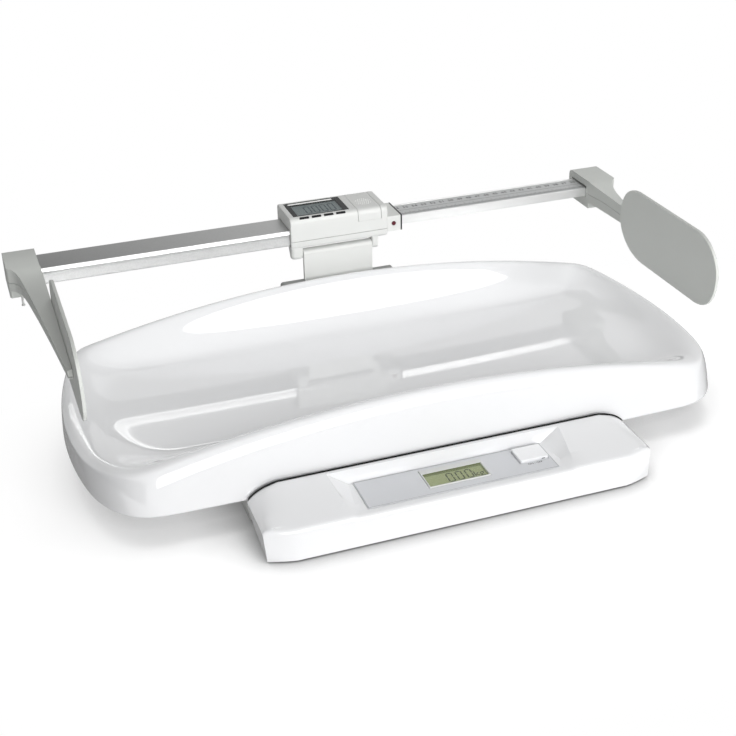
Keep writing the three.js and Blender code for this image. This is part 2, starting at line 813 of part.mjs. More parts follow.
// Shares of the way in (first) and up (second) along the skirt, and in and
// down along the inner wall
const skirtShares = [[0, 0], [0.22, 0.42], [0.45, 0.76], [0.65, 0.92], [0.82, 0.985]];
const innerShares = [
  [0, 1], [0.08, 0.985], [0.17, 0.9], [0.3, 0.67], [0.45, 0.4], [0.62, 0.18], [0.8, 0.045], [1, 0],
];

function trayRings(skirt, drop) {
  const rings = [];
  for (const [share, up] of skirtShares) {
    rings.push(trayRing(skirt, outlines.crest, share,
      (x) => lerp(tray.skirtFoot, rimHeight(x) - drop, up)));
  }
  for (const [share, up] of innerShares) {
    rings.push(trayRing(outlines.crest, outlines.floor, share,
      (x) => lerp(floorHeight(x), rimHeight(x), up) - drop));
  }
  const flatShare = tray.flatHalf / (tray.halfLength - trayFloorEdge.end);
  const flat = outlines.floor.map(([x, y]) => [x * flatShare, y]);
  rings.push(trayRing(flat, flat, 0, () => tray.floor - drop));
  return rings;
}

function traySolid() {
  const top = trayRings(outlines.foot, 0);
  const under = trayRings(outlines.footInside, tray.thick);
  return loft([...under.reverse(), ...top], false);
}
piece('tray', traySolid(), 'whiteGloss');

// Holder behind the tray, with the slot for the hinge plate

function holderSolid() {
  const h = holder;
  const back = h.front + h.depth;
  const slot = { front: hingePlate.front - gap, back: hingePlate.front + hingePlate.thick + gap };
  const plate = prism('y', rounded(-h.halfWidth, h.halfWidth, h.bottom, h.top, h.corner), h.front, back);
  const arm = block(-h.footHalf, h.footHalf, base.back + gap, back, h.bottom, h.footTop);
  let solid = plate.add(arm).subtract(block(-hingePlate.halfWidth - gap, hingePlate.halfWidth + gap,
    slot.front, slot.back, h.slotFloor, h.top + overrun));
  solid = solid.subtract(block(-h.screwX + backBoss.halfWidth, h.screwX - backBoss.halfWidth,
    base.back - overrun, h.front - wall, h.bottom - overrun, h.footTop - wall));
  const z = screwHeight;
  for (const x of [-h.screwX, h.screwX]) {
    solid = solid
      .subtract(bar('y', x, z, screw.radius + screw.fit, base.back - overrun, back + overrun))
      .subtract(bar('y', x, z, screw.headRadius + screw.fit, back - h.screwDeep, back + overrun));
  }
  return solid;
}
piece('base_cover', coverSolid(), 'whiteSatin');
piece('rod_holder', holderSolid(), 'holderGrey');

for (const [name, x] of [['holder_screw_left', -holder.screwX], ['holder_screw_right', holder.screwX]]) {
  const seat = holder.front + holder.depth - holder.screwDeep + gap;
  const solid = bar('y', x, screwHeight, screw.radius, seat - holder.screwLength, seat)
    .add(bar('y', x, screwHeight, screw.headRadius, seat, seat + screw.headHeight));
  piece(name, solid, 'steel');
}

// Hinge plate, pin and the measuring rod's display head

function hingePlateSolid() {
  const p = hingePlate;
  const { barrel } = hinge;
  return block(-p.halfWidth, p.halfWidth, p.front, p.front + p.thick, p.bottom, hinge.z)
    .add(bar('x', hinge.y, hinge.z, barrel, -p.halfWidth, p.halfWidth))
    .subtract(bar('x', hinge.y, hinge.z, hinge.pin + gap, -p.halfWidth - overrun, p.halfWidth + overrun));
}
piece('hinge_plate', hingePlateSolid(), 'whiteSatin');

const knuckles = {
  leftOuter: head.left,
  leftInner: -hingePlate.halfWidth - slideGap,
  rightInner: hingePlate.halfWidth + slideGap,
  rightOuter: hingePlate.halfWidth + slideGap + hinge.rightKnuckle,
};
piece('hinge_pin', bar('x', hinge.y, hinge.z, hinge.pin,
  knuckles.leftOuter + wall, knuckles.rightOuter - gap), 'steel');

function headProfile(inset) {
  const h = head;
  const quarter = Math.PI / 2;
  const shape = new THREE.Shape();
  const r = h.round - inset;
  const low = Math.max(h.bottomRound - inset, gap);
  shape.absarc(h.front + inset + low, h.bottom + inset + low, low, 2 * quarter, 3 * quarter, false);
  shape.absarc(h.back - inset - low, h.bottom + inset + low, low, 3 * quarter, 4 * quarter, false);
  shape.absarc(h.back - inset - low, h.top - inset - low, low, 0, quarter, false);
  shape.absarc(h.front + inset + r, h.top - inset - r, r, quarter, 2 * quarter, false);
  return shape;
}

const rodPassage = block(head.left - overrun, head.right + overrun, rod.front - slideGap, rodBack + slideGap,
  rod.bottom - slideGap, rodTop + slideGap);
const headForm = prism('x', headProfile(0), head.left, head.right);
const headHollow = prism('x', headProfile(head.wall), head.left + head.wall, head.right - head.wall);
const doorLow = head.top - head.round - headDoor.frontDrop;
const doorBack = head.back - head.bottomRound; // the flat top ends here
const ledgeBack = head.front + headDoor.thick + gap + head.wall;

const lean = THREE.MathUtils.degToRad(headButton.leanDegrees);
const buttonCentre = {
  y: head.front + head.round - head.round * Math.cos(lean),
  z: head.top - head.round + head.round * Math.sin(lean),
};
// An oval peg that stands square to the rounded front edge of the head
function pegAt(x, grow, from, to) {
  const halfLong = headButton.length / 2 + grow;
  const halfWide = headButton.width / 2 + grow;
  const outline = rounded(-halfLong, halfLong, -halfWide, halfWide, halfWide - gap);
  const geometry = new THREE.ExtrudeGeometry(outline, {
    depth: to - from,
    bevelEnabled: false,
    curveSegments: roundSteps,
  });
  geometry.translate(0, 0, from);
  geometry.rotateX(Math.PI / 2 - lean);
  geometry.translate(x, buttonCentre.y, buttonCentre.z);
  return toSolid(geometry);
}
const headButtonX = [];
for (let i = 0; i < headButton.count; i += 1) {
  headButtonX.push(windowCentre + headButton.pitch * (i - (headButton.count - 1) / 2));
}

function windowBlock(grow, z0, z1) {
  const w = headWindow;
  return block(w.left - grow, w.right + grow, w.front - grow, w.back + grow, z0, z1);
}

function headUpper() {
  const shellCut = block(head.left - overrun, head.right + overrun,
    head.front - overrun, head.back + overrun, head.bottom - overrun, head.seam + gap);
  const doorBed = prism('x', headProfile(headDoor.thick + gap), head.left, head.right);
  const doorHole = block(headDoor.left, headDoor.right, head.front - overrun, doorBack,
    doorLow, head.top + overrun).subtract(doorBed);
  const doorOpening = block(headDoor.left + headDoor.lip, headDoor.right - headDoor.lip,
    head.front + head.round, doorBack - headDoor.lip, headBoard.top, head.top);
  let shell = headForm.subtract(headHollow).subtract(shellCut);
  const doorLedge = doorBed
    .subtract(prism('x', headProfile(headDoor.thick + gap + head.wall), head.left, head.right))
    .intersect(block(headDoor.left - head.wall, headDoor.right + head.wall, head.front, ledgeBack,
      doorLow - head.wall, head.top)
      .add(block(headDoor.left - head.wall, headDoor.right + head.wall, head.front, doorBack + head.wall,
        headBoard.top + coin.thick + slideGap, head.top)));
  const halfBoss = headScrew.headRadius + head.wall / 2;
  const boss = block(headScrew.x - halfBoss, headScrew.x + halfBoss, headScrew.y - halfBoss,
    head.back - head.wall / 2, head.seam + gap, headBoard.top - headBoard.thick - gap);
  shell = shell
    .add(doorLedge)
    .add(boss)
    .subtract(rodPassage)
    .subtract(doorHole)
    .subtract(doorOpening)
    .subtract(windowBlock(gap, head.top - headWindow.thick - gap, head.top + overrun))
    .subtract(windowBlock(-headWindow.ledge, headBoard.top, head.top + overrun));
  for (const x of headButtonX) shell = shell.subtract(pegAt(x, gap, -overrun, overrun));
  return shell.subtract(screwHole(headScrew.x, headScrew.y, head.bottom - overrun, headBoard.top - overrun,
    { radius: headScrew.radius, fit: screw.fit }));
}
piece('head_upper_shell', headUpper(), 'whiteSatin');

function headLower() {
  const keep = block(head.left - overrun, head.right + overrun, head.front - overrun, head.back + overrun,
    head.bottom - overrun, head.seam);
  let shell = headForm.subtract(headHollow).intersect(keep);
  for (const [x0, x1] of [
    [knuckles.leftOuter, knuckles.leftInner],
    [knuckles.rightInner, knuckles.rightOuter],
  ]) {
    const web = prism('x', [
      [head.front + gap, hinge.z],
      [hinge.y + hinge.barrel, hinge.z],
      [hinge.y + hinge.barrel + head.wall, head.bottom + head.wall],
      [head.front + gap, head.bottom + head.bottomRound],
    ], x0, x1);
    shell = shell.add(web).add(bar('x', hinge.y, hinge.z, hinge.barrel, x0, x1));
  }
  const column = bar('z', headScrew.x, headScrew.y, headScrew.headRadius + head.wall / 2,
    head.bottom + gap, head.seam);
  const size = { ...screw, ...headScrew };
  return shell
    .add(column)
    .subtract(rodPassage)
    .subtract(bar('x', hinge.y, hinge.z, hinge.pin + gap, knuckles.leftOuter + wall - gap, head.right))
    .subtract(screwHole(headScrew.x, headScrew.y, head.bottom - overrun, head.seam + overrun, size))
    .subtract(headHole(headScrew.x, headScrew.y, head.bottom - overrun,
      head.bottom + headScrew.headHeight + gap, size));
}
piece('head_lower_shell', headLower(), 'whiteSatin');

piece('head_window', windowBlock(0, head.top - headWindow.thick, head.top), 'smoke');
piece('head_display', windowBlock(-headLcd.margin, headBoard.top + gap, head.top - headWindow.thick - gap),
  'smoke');

const boardEdge = head.wall + gap;
piece('head_board', block(head.left + boardEdge, head.right - boardEdge,
  ledgeBack + gap, head.back - boardEdge,
  headBoard.top - headBoard.thick, headBoard.top), 'board');

headButtonX.forEach((x, i) => {
  piece(`head_button_${i + 1}`, pegAt(x, 0, -headButton.sink, headButton.rise), 'black');
});

function headDoorSolid() {
  const left = headDoor.left + gap;
  const right = headDoor.right - gap;
  const skin = headForm.subtract(prism('x', headProfile(headDoor.thick), head.left - overrun,
    head.right + overrun));
  return skin.intersect(block(left, right, head.front - overrun, doorBack - gap,
    doorLow + gap, head.top + overrun));
}
piece('head_battery_door', headDoorSolid(), 'whiteSatin');

const doorMiddle = (headDoor.left + headDoor.right) / 2;
piece('coin_cell', bar('z', doorMiddle, coin.centreY, coin.radius, headBoard.top + gap,
  headBoard.top + gap + coin.thick), 'steel');
piece('head_screw', screwUp(headScrew.x, headScrew.y, head.bottom + headScrew.headHeight,
  head.seam + 2 * wall, headScrew), 'steel');

// Outer rod with its end cap, gasket and index mark

const rodLeft = leftArmFace - bracket.headOffset - rod.seat;
const readerX = headCentre;
const halfSlot = { x: reader.width / 2 + reader.slotMargin, y: reader.depth / 2 + reader.slotMargin };
function outerRod() {
  const w = rod.wall;
  const [grooveLow, grooveHigh] = rod.grooveShares.map((share) => rod.bottom + share * rod.height);
  return block(rodLeft, rod.right, rod.front, rodBack, rod.bottom, rodTop)
    .subtract(block(rodLeft - overrun, rod.right + overrun, rod.front + w, rodBack - w,
      rod.bottom + w, rodTop - w))
    .subtract(block(rodLeft - overrun, rod.right + overrun, rod.front - overrun,
      rod.front + rod.grooveDepth, grooveLow, grooveHigh))
    .subtract(block(readerX - halfSlot.x, readerX + halfSlot.x, coin.centreY - halfSlot.y,
      coin.centreY + halfSlot.y, rodTop - w - overrun / 2, rodTop + overrun));
}
piece('outer_rod', outerRod(), 'aluminium');

const capLeft = rod.right + gap;
const capRight = capLeft + rodCap.length;
function innerPassage(x0, x1) {
  return block(x0, x1, innerFront - slideGap, innerBack + slideGap,
    innerTop - innerRod.height - slideGap, innerTop + slideGap);
}
function rodEndCap() {
  const w = rod.wall + gap;
  const mark = bar('y', (capLeft + capRight) / 2, rod.bottom + rod.height / 2, indexMark.radius + gap,
    rod.front - overrun, rod.front + indexMark.depth + gap);
  return block(capLeft, capRight, rod.front, rodBack, rod.bottom, rodTop)
    .subtract(innerPassage(capLeft - overrun, capRight + overrun))
    .add(block(capLeft - rodCap.tongue, capLeft + gap, rod.front + w, rodBack - w,
      rod.bottom + w, innerTop - innerRod.height - slideGap))
    .subtract(mark);
}
piece('rod_end_cap', rodEndCap(), 'whiteSatin');
const gasketLeft = capRight + gap;
piece('rod_gasket', block(gasketLeft, gasketLeft + rodCap.gasket, rod.front, rodBack, rod.bottom, rodTop)
  .subtract(innerPassage(capRight, capRight + overrun)), 'black');
piece('index_mark', bar('y', (capLeft + capRight) / 2, rod.bottom + rod.height / 2, indexMark.radius,
  rod.front, rod.front + indexMark.depth), 'red');
piece('rod_reader', block(readerX - reader.width / 2, readerX + reader.width / 2,
  coin.centreY - reader.depth / 2, coin.centreY + reader.depth / 2,
  rodTop - rod.wall, headBoard.top - headBoard.thick - gap), 'black');

// Inner rod, and the strip that carries its graduations

const innerLeft = innerRight - innerRod.length;
function innerRodSolid() {
  const w = innerRod.wall;
  const low = innerTop - innerRod.height;
  return block(innerLeft, innerRight, innerFront, innerBack, low, innerTop)
    .subtract(block(innerLeft - overrun, innerRight + overrun, innerFront + w, innerBack - w, low + w,
      innerTop - 2 * w))
    .subtract(block(innerLeft - overrun, innerRight + overrun, innerFront + scaleStrip.inset,
      innerBack - scaleStrip.inset, innerTop - scaleStrip.groove, innerTop + overrun));
}
piece('inner_rod', innerRodSolid(), 'aluminium');
const stripLow = innerTop - scaleStrip.groove + gap;
piece('scale_strip', block(innerLeft + rod.seat, innerRight - rod.seat, innerFront + scaleStrip.inset + gap,
  innerBack - scaleStrip.inset - gap, stripLow, stripLow + scaleStrip.thick), 'panelGrey');

// Brackets: an upper and a lower shell that close on the rod's end and on the
// paddle's tongue. The side is +1 for the foot end and -1 for the head end, and
// the face is how far the arm's inner face is from the tray's middle.

function bracketPlan(side, face, grow) {
  const b = bracket;
  const out = (width) => side * (face + Math.max(width - grow, grow + gap));
  const near = side * (face + grow);
  const nearHead = side * (face + b.headOffset + grow);
  return [
    [near, b.tipY + grow],
    [out(b.tipWidth), b.tipY + grow],
    [out(b.armWidth), b.filletEnd - b.armWidth],
    ...b.filletShares.map(([wide, back]) => [
      out(lerp(b.armWidth, b.headWidth, wide)), lerp(b.filletEnd, b.headFront, back),
    ]),
    [out(b.headWidth), b.headFront - b.cornerCut],
    [out(b.headWidth), b.headBack - grow],
    [nearHead, b.headBack - grow],
    [nearHead, b.headFront - grow],
    [near, b.headFront - 2 * b.cornerCut - grow],
  ];
}
function bracketProfile(grow) {
  const b = bracket;
  return [
    [b.tipY - overrun, b.tipTop - grow],
    [b.tipY - overrun, b.tipBottom + grow],
    [b.armBottomStart - b.armWidth, b.armBottom + grow],
    [b.armBottomStart, b.armBottom + grow],
    [b.headFront, b.bottom + grow],
    [b.headBack + overrun, b.bottom + grow],
    [b.headBack + overrun, b.top - grow],
    [b.armTopEnd, b.top - grow],
  ];
}
function bracketForm(side, face, grow) {
  const reach = face + bracket.headWidth + overrun;
  return prism('x', bracketProfile(grow), Math.min(0, side * reach), Math.max(0, side * reach))
    .intersect(prism('z', bracketPlan(side, face, grow), bracket.bottom - overrun, bracket.top + overrun));
}

function bracketShells(side, face, rodBlock) {
  const b = bracket;
  const whole = bracketForm(side, face, 0)
    .subtract(bracketForm(side, face, b.wall).intersect(
      block(-tray.halfLength * 2, tray.halfLength * 2, b.filletEnd, b.headBack, b.bottom, b.top),
    ))
    .subtract(rodBlock)
    .subtract(tongueBlock(side, face, gap));
  const wide = tray.halfLength * 2;
  const upper = whole.intersect(block(-wide, wide, 0, head.back, b.seam + b.seamGap / 2, b.top + overrun));
  const lower = whole.intersect(block(-wide, wide, 0, head.back,
    b.bottom - overrun, b.seam - b.seamGap / 2));
  return { upper, lower };
}

function tongueBlock(side, face, grow) {
  const p = paddle;
  const [near, far] = [side * face - side * gap, side * face + side * (p.tongue + grow)];
  const half = p.tongueThick / 2 + grow;
  return block(Math.min(near, far), Math.max(near, far), p.tongueFront - grow, p.tongueBack + grow,
    bracket.seam - half, bracket.seam + half);
}

function paddleSolid(side, face) {
  const p = paddle;
  const mid = (p.bottom + p.top) / 2;
  const shape = new THREE.Shape();
  shape.moveTo(p.flatBottomFront, p.bottom);
  shape.lineTo(p.flatBottomBack, p.bottom);
  const { bottom, low, high, top } = p.bendShares;
  shape.bezierCurveTo(lerp(p.flatBottomBack, p.back, bottom), p.bottom, p.back, lerp(p.bottom, mid, low),
    p.back, mid);
  shape.bezierCurveTo(p.back, lerp(mid, p.top, high), lerp(p.flatTopBack, p.back, top), p.top,
    p.flatTopBack, p.top);
  shape.lineTo(p.flatTopFront, p.top);
  shape.bezierCurveTo(lerp(p.flatTopFront, p.front, bottom), p.top, p.front, lerp(mid, p.top, low),
    p.front, mid);
  shape.bezierCurveTo(p.front, lerp(mid, p.bottom, high), lerp(p.flatBottomFront, p.front, top), p.bottom,
    p.flatBottomFront, p.bottom);
  const near = side * (face - gap);
  const far = side * (face - gap - p.thick);
  return prism('x', shape, Math.min(near, far), Math.max(near, far)).add(tongueBlock(side, face, 0));
}

function bracketScrew(side, face) {
  const x = side * (face + bracket.headOffset + bracket.headWidth / 2);
  return { x, y: (bracket.headFront + bracket.headBack) / 2 };
}

function bracketSet(names, side, face, rodBlock, rodBottom, rodDepth) {
  const { upper, lower } = bracketShells(side, face, rodBlock);
  const place = bracketScrew(side, face);
  const low = bracket.bottom;
  const hole = screwHole(place.x, place.y, low - overrun, rodBottom + rodDepth + gap)
    .add(headHole(place.x, place.y, low - overrun, low + screw.headHeight + gap));
  piece(names.upper, upper, 'warmGrey');
  piece(names.lower, lower.subtract(hole), 'warmGrey');
  piece(names.paddle, paddleSolid(side, face), 'warmGrey');
  piece(names.screw, screwUp(place.x, place.y, low + screw.headHeight, rodBottom - gap), 'steel');
}

const leftSeat = block(rodLeft - gap, leftArmFace + overrun, rod.front - gap, rodBack + gap,
  rod.bottom - gap, rodTop + gap);
const rightSeat = block(rightArmFace - overrun, innerRight + gap, innerFront - gap, innerBack + gap,
  innerTop - innerRod.height - gap, innerTop + gap);
bracketSet({
  upper: 'head_bracket_upper',
  lower: 'head_bracket_lower',
  paddle: 'head_paddle',
  screw: 'head_bracket_screw',
}, -1, -leftArmFace, leftSeat, rod.bottom, rod.wall);
bracketSet({
  upper: 'foot_bracket_upper',
  lower: 'foot_bracket_lower',
  paddle: 'foot_paddle',
  screw: 'foot_bracket_screw',
}, 1, rightArmFace, rightSeat, innerTop - innerRod.height, innerRod.wall);

// The origin is below the middle of the whole object, on the ground

const extents = {
  left: leftArmFace - bracket.headWidth,
  right: rightArmFace + bracket.headWidth,
  front: -consoleCover.bow,
  back: head.back,
};
parts.position.set(-(extents.left + extents.right) / 2, -(extents.front + extents.back) / 2, 0);

export default babyScale;
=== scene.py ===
import json
from math import atan2, copysign, cos, degrees, exp, log, radians, sin
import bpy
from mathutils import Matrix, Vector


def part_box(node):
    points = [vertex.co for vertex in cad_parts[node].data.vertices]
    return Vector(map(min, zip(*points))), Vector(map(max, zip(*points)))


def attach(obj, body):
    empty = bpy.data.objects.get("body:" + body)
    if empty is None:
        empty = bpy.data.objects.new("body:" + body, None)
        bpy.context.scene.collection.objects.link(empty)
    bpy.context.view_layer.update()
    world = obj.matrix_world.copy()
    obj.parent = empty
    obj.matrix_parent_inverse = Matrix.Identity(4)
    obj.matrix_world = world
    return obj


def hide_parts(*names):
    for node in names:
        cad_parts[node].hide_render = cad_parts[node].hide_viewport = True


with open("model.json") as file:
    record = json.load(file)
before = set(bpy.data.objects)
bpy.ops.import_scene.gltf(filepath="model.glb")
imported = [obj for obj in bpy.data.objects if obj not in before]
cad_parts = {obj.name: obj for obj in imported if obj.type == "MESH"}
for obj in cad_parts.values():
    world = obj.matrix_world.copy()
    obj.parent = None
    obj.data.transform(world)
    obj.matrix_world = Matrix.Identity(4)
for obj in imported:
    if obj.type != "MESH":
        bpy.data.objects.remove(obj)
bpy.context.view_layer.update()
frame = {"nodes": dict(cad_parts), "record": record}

from types import SimpleNamespace as Table

import bmesh
import bpy
from mathutils import Matrix, Vector

# Digital baby weighing scale. Metres, +X to the right along the tray, +Y to the
# back, +Z up. Every piece is made where the frame has its CAD node.

nodes = frame["nodes"]
scene = bpy.context.scene
PRINT_DEPTH = 0.00006
ROD = "measuring_rod"

# Camera

VIEW = Table(
    azimuth=radians(-19.18), elevation=radians(28.89), roll=radians(-1.03),
    place=Vector((-0.3494, -0.9630, 0.6156)), lens=62.03, sensor=36.0)


def add_camera():
    """The photograph's view. The picture is square, so the sensor's width holds both ways."""
    turn = (Matrix.Rotation(VIEW.azimuth, 4, "Z") @ Matrix.Rotation(radians(90) - VIEW.elevation, 4, "X")
            @ Matrix.Rotation(VIEW.roll, 4, "Z"))
    data = bpy.data.cameras.new("camera")
    data.lens = VIEW.lens
    data.sensor_width = VIEW.sensor
    camera = bpy.data.objects.new("camera", data)
    camera.matrix_world = Matrix.Translation(VIEW.place) @ turn
    scene.collection.objects.link(camera)
    scene.camera = camera


# Shader nodes

def feed(tree, node, inputs):
    """Sets a node's inputs, by name or number, to values, or links them to sockets."""
    for socket, value in inputs.items():
        if isinstance(value, bpy.types.NodeSocket):
            tree.links.new(value, node.inputs[socket])
        else:
            node.inputs[socket].default_value = value
    return node


def add_node(tree, kind, inputs, operation=None):
    """A new node with these inputs, and its outputs."""
    node = tree.nodes.new(kind)
    if operation:
        node.operation = operation
    return feed(tree, node, inputs).outputs


def arithmetic(tree, operation, *values):
    """The outcome of a Math node whose inputs are sockets or numbers."""
    return add_node(tree, "ShaderNodeMath", dict(enumerate(values)), operation)[0]


def remap(tree, value, ends, interpolation="LINEAR"):
    """A value led from one range to another. The ends are both of the first and of the second."""
    node = tree.nodes.new("ShaderNodeMapRange")
    node.interpolation_type = interpolation
    feed(tree, node, {"Value": value, **dict(zip(("From Min", "From Max", "To Min", "To Max"), ends))})
    return node.outputs["Result"]


def glow(tree, strength):
    return add_node(tree, "ShaderNodeEmission", {"Strength": strength})["Emission"]


def blend(tree, share, first, second):
    return add_node(tree, "ShaderNodeMixShader", {0: share, 1: first, 2: second})["Shader"]


def show(tree, shader):
    feed(tree, tree.nodes["Material Output"], {"Surface": shader})


def seen_directly(tree):
    """1 where a ray from the camera, a reflection or a refraction looks, else 0."""
    path = tree.nodes.new("ShaderNodeLightPath")
    value = path.outputs["Is Camera Ray"]
    for name in ("Is Glossy Ray", "Is Transmission Ray"):
        value = arithmetic(tree, "MAXIMUM", value, path.outputs[name])
    return value


def new_material(name):
    """A material, its node tree and its surface."""
    material = bpy.data.materials.new(name)
    material.use_nodes = True
    return material, material.node_tree, material.node_tree.nodes["Principled BSDF"]


# Light, floor and background

LIGHTS = {
    # name: (place, aim, width and height, power in watts, whether reflections show it)
    "front_softbox": ((0.35, -2.4, 1.0), (0.0, 0.0, 0.08), (2.4, 1.15), 49, True),
    "top_softbox": ((0.05, 0.3, 2.2), (0.0, 0.0, 0.0), (1.5, 1.5), 17, False),
    "right_softbox": ((2.4, -0.5, 1.1), (0.0, 0.0, 0.05), (1.0, 1.0), 3, False),
}
ROOM_LIGHT = 0.28
CARD = Table(low=0.0, high=5.0, back=2.6, half=5.0, tones=(0.4, 0.8), spread=1.6)
FLAG = Table(x=-0.9, half=1.3, high=0.55)
TABLE = Table(half=2.5, front=-0.19, back=2.58, z=0.0003, tone=0.28)
FLOOR = Table(
    half=20.0, albedo=0.92, roughness=0.9,
    middle=(-0.075, 0.1, 0.0), stretch=(0.5, 1.0, 1.0),
    fade=(0.15, 0.34),  # where it starts to be a lamp, and where it is one
    lift=0.34,  # its own light close to the object
    contact=0.055,  # how far the painted contact shadow reaches
)


def add_world():
    world = bpy.data.worlds.new("studio")
    world.use_nodes = True
    tree = world.node_tree
    strength = remap(tree, seen_directly(tree), (0.0, 1.0, ROOM_LIGHT, 1.0))
    feed(tree, tree.nodes["Background"], {"Color": (1.0, 1.0, 1.0, 1.0), "Strength": strength})
    scene.world = world


def add_lights():
    for name, (place, aim, size, power, shown) in LIGHTS.items():
        data = bpy.data.lights.new(name, "AREA")
        data.shape = "RECTANGLE"
        data.size, data.size_y = size
        data.energy = power
        lamp = bpy.data.objects.new(name, data)
        lamp.location = place
        lamp.rotation_mode = "QUATERNION"
        lamp.rotation_quaternion = (Vector(aim) - Vector(place)).to_track_quat("-Z", "Y")
        lamp.visible_glossy = shown
        scene.collection.objects.link(lamp)


def rectangle(x0, y0, x1, y1, z):
    return [(x0, y0, z), (x1, y0, z), (x1, y1, z), (x0, y1, z)]


def stage_sheet(name, corners, material, hidden_from=()):
    """A flat sheet of the studio, which isn't part of the object."""
    bm = bmesh.new()
    bm.faces.new([bm.verts.new(c) for c in corners])
    mesh = bpy.data.meshes.new(name)
    bm.to_mesh(mesh)
    bm.free()
    mesh.materials.append(material)
    sheet = bpy.data.objects.new(name, mesh)
    scene.collection.objects.link(sheet)
    sheet.visible_camera = "camera" not in hidden_from
    sheet.visible_diffuse = "diffuse" not in hidden_from
    sheet.visible_transmission = "transmission" not in hidden_from
    sheet.visible_shadow = "shadow" not in hidden_from


def add_floor():
    """White, and a lamp of its own far from the object, so that it has no horizon. Near the object the
    camera's view of it is darkened by ambient occlusion, a painted contact shadow. The camera sees through
    it from below."""
    material, tree, surface = new_material("floor_white")
    feed(tree, surface, {
        "Base Color": (*[FLOOR.albedo] * 3, 1.0), "Roughness": FLOOR.roughness,
        "Specular IOR Level": 0.0})
    seen = seen_directly(tree)
    camera = tree.nodes.new("ShaderNodeLightPath").outputs["Is Camera Ray"]
    lift = glow(tree, arithmetic(tree, "MULTIPLY", seen, FLOOR.lift))
    lifted = add_node(tree, "ShaderNodeAddShader", {0: surface.outputs["BSDF"], 1: lift})["Shader"]
    # painted contact shadow: what the camera sees of the floor is darkened by ambient occlusion
    contact = add_node(tree, "ShaderNodeAmbientOcclusion", {"Distance": FLOOR.contact})["AO"]
    kept = arithmetic(tree, "MAXIMUM", contact, arithmetic(tree, "SUBTRACT", 1.0, camera))
    place = tree.nodes.new("ShaderNodeTexCoord").outputs["Object"]
    squeezed = add_node(tree, "ShaderNodeVectorMath", {0: place, 1: FLOOR.stretch, 2: FLOOR.middle},
                        "MULTIPLY_ADD")["Vector"]
    far = add_node(tree, "ShaderNodeVectorMath", {0: squeezed}, "LENGTH")["Value"]
    direct = arithmetic(tree, "MULTIPLY", remap(tree, far, FLOOR.fade, "SMOOTHSTEP"), seen)
    from_above = blend(tree, direct, blend(tree, kept, glow(tree, 0.0), lifted), glow(tree, 1.0))
    behind = tree.nodes.new("ShaderNodeNewGeometry").outputs["Backfacing"]
    clear = tree.nodes.new("ShaderNodeBsdfTransparent").outputs["BSDF"]
    show(tree, blend(tree, arithmetic(tree, "MULTIPLY", behind, camera), from_above, clear))
    half = FLOOR.half
    stage_sheet("floor", rectangle(-half, -half, half, half, 0), material)


def add_card():
    """A grey card behind and above, which the camera doesn't see: the tray, the windows and
    the rods' tops reflect it."""
    material, tree, _ = new_material("card_grey")
    place = tree.nodes.new("ShaderNodeTexCoord").outputs["Object"]
    across = add_node(tree, "ShaderNodeSeparateXYZ", {"Vector": place})["X"]
    show(tree, glow(tree, remap(tree, across, (-CARD.spread, CARD.spread, *CARD.tones))))
    half, back, low, high = CARD.half, CARD.back, CARD.low, CARD.high
    corners = [(-half, back, low), (half, back, low), (half, 0, high), (-half, 0, high)]
    stage_sheet("card", corners, material, ("camera", "diffuse", "shadow"))


def add_flag():
    """A black flag on the left, which only takes stray light from the sides that face it."""
    material, tree, surface = new_material("flag_black")
    feed(tree, surface, {"Base Color": (0.0, 0.0, 0.0, 1.0), "Specular IOR Level": 0.0})
    x, half, high = FLAG.x, FLAG.half, FLAG.high
    corners = [(x, -half, 0), (x, half, 0), (x, half, high), (x, -half, high)]
    stage_sheet("flag", corners, material, ("camera", "transmission", "shadow"))


def add_table():
    """A grey sheet around and behind the object, just above the floor, that only reflections
    show: it draws the far edges of the glossy skins."""
    material, tree, _ = new_material("table_grey")
    show(tree, glow(tree, TABLE.tone))
    half = TABLE.half
    corners = rectangle(-half, TABLE.front, half, TABLE.back, TABLE.z)
    stage_sheet("table", corners, material, ("camera", "diffuse", "transmission", "shadow"))


# Materials

def make_skin_group():
    """The skin of moulded or drawn stock: fine pebbles and a cloudy tone. Stretch draws the
    pebbles out along X, as a brush or a drawing die does."""
    group = bpy.data.node_groups.new("moulded_skin", "ShaderNodeTree")
    for socket, default in (("Scale", 900.0), ("Stretch", 1.0), ("Cloud Scale", 9.0)):
        made = group.interface.new_socket(socket, in_out="INPUT", socket_type="NodeSocketFloat")
        made.default_value = default
    for socket in ("Grain", "Cloud"):
        group.interface.new_socket(socket, in_out="OUTPUT", socket_type="NodeSocketFloat")
    given = group.nodes.new("NodeGroupInput").outputs
    place = group.nodes.new("ShaderNodeTexCoord").outputs["Object"]
    share = arithmetic(group, "DIVIDE", 1.0, given["Stretch"])
    along = add_node(group, "ShaderNodeCombineXYZ", {"X": share, "Y": 1.0, "Z": 1.0})["Vector"]
    drawn = add_node(group, "ShaderNodeVectorMath", {0: place, 1: along}, "MULTIPLY")["Vector"]
    grain = add_node(group, "ShaderNodeTexNoise", {
        "Vector": drawn, "Scale": given["Scale"], "Detail": 3.0})
    cloud = add_node(group, "ShaderNodeTexNoise", {
        "Vector": place, "Scale": given["Cloud Scale"], "Detail": 4.0})
    add_node(group, "NodeGroupOutput", {"Grain": grain["Fac"], "Cloud": cloud["Fac"]})
    return group


SKIN_GROUP = make_skin_group()
COAT_ROUGHNESS = 0.012
PAINTED_SHADE_FACING_UP = (0.6, 0.9)                # the normal's Z where a side starts to face up, and where it does: the painted shade on tops grows in between
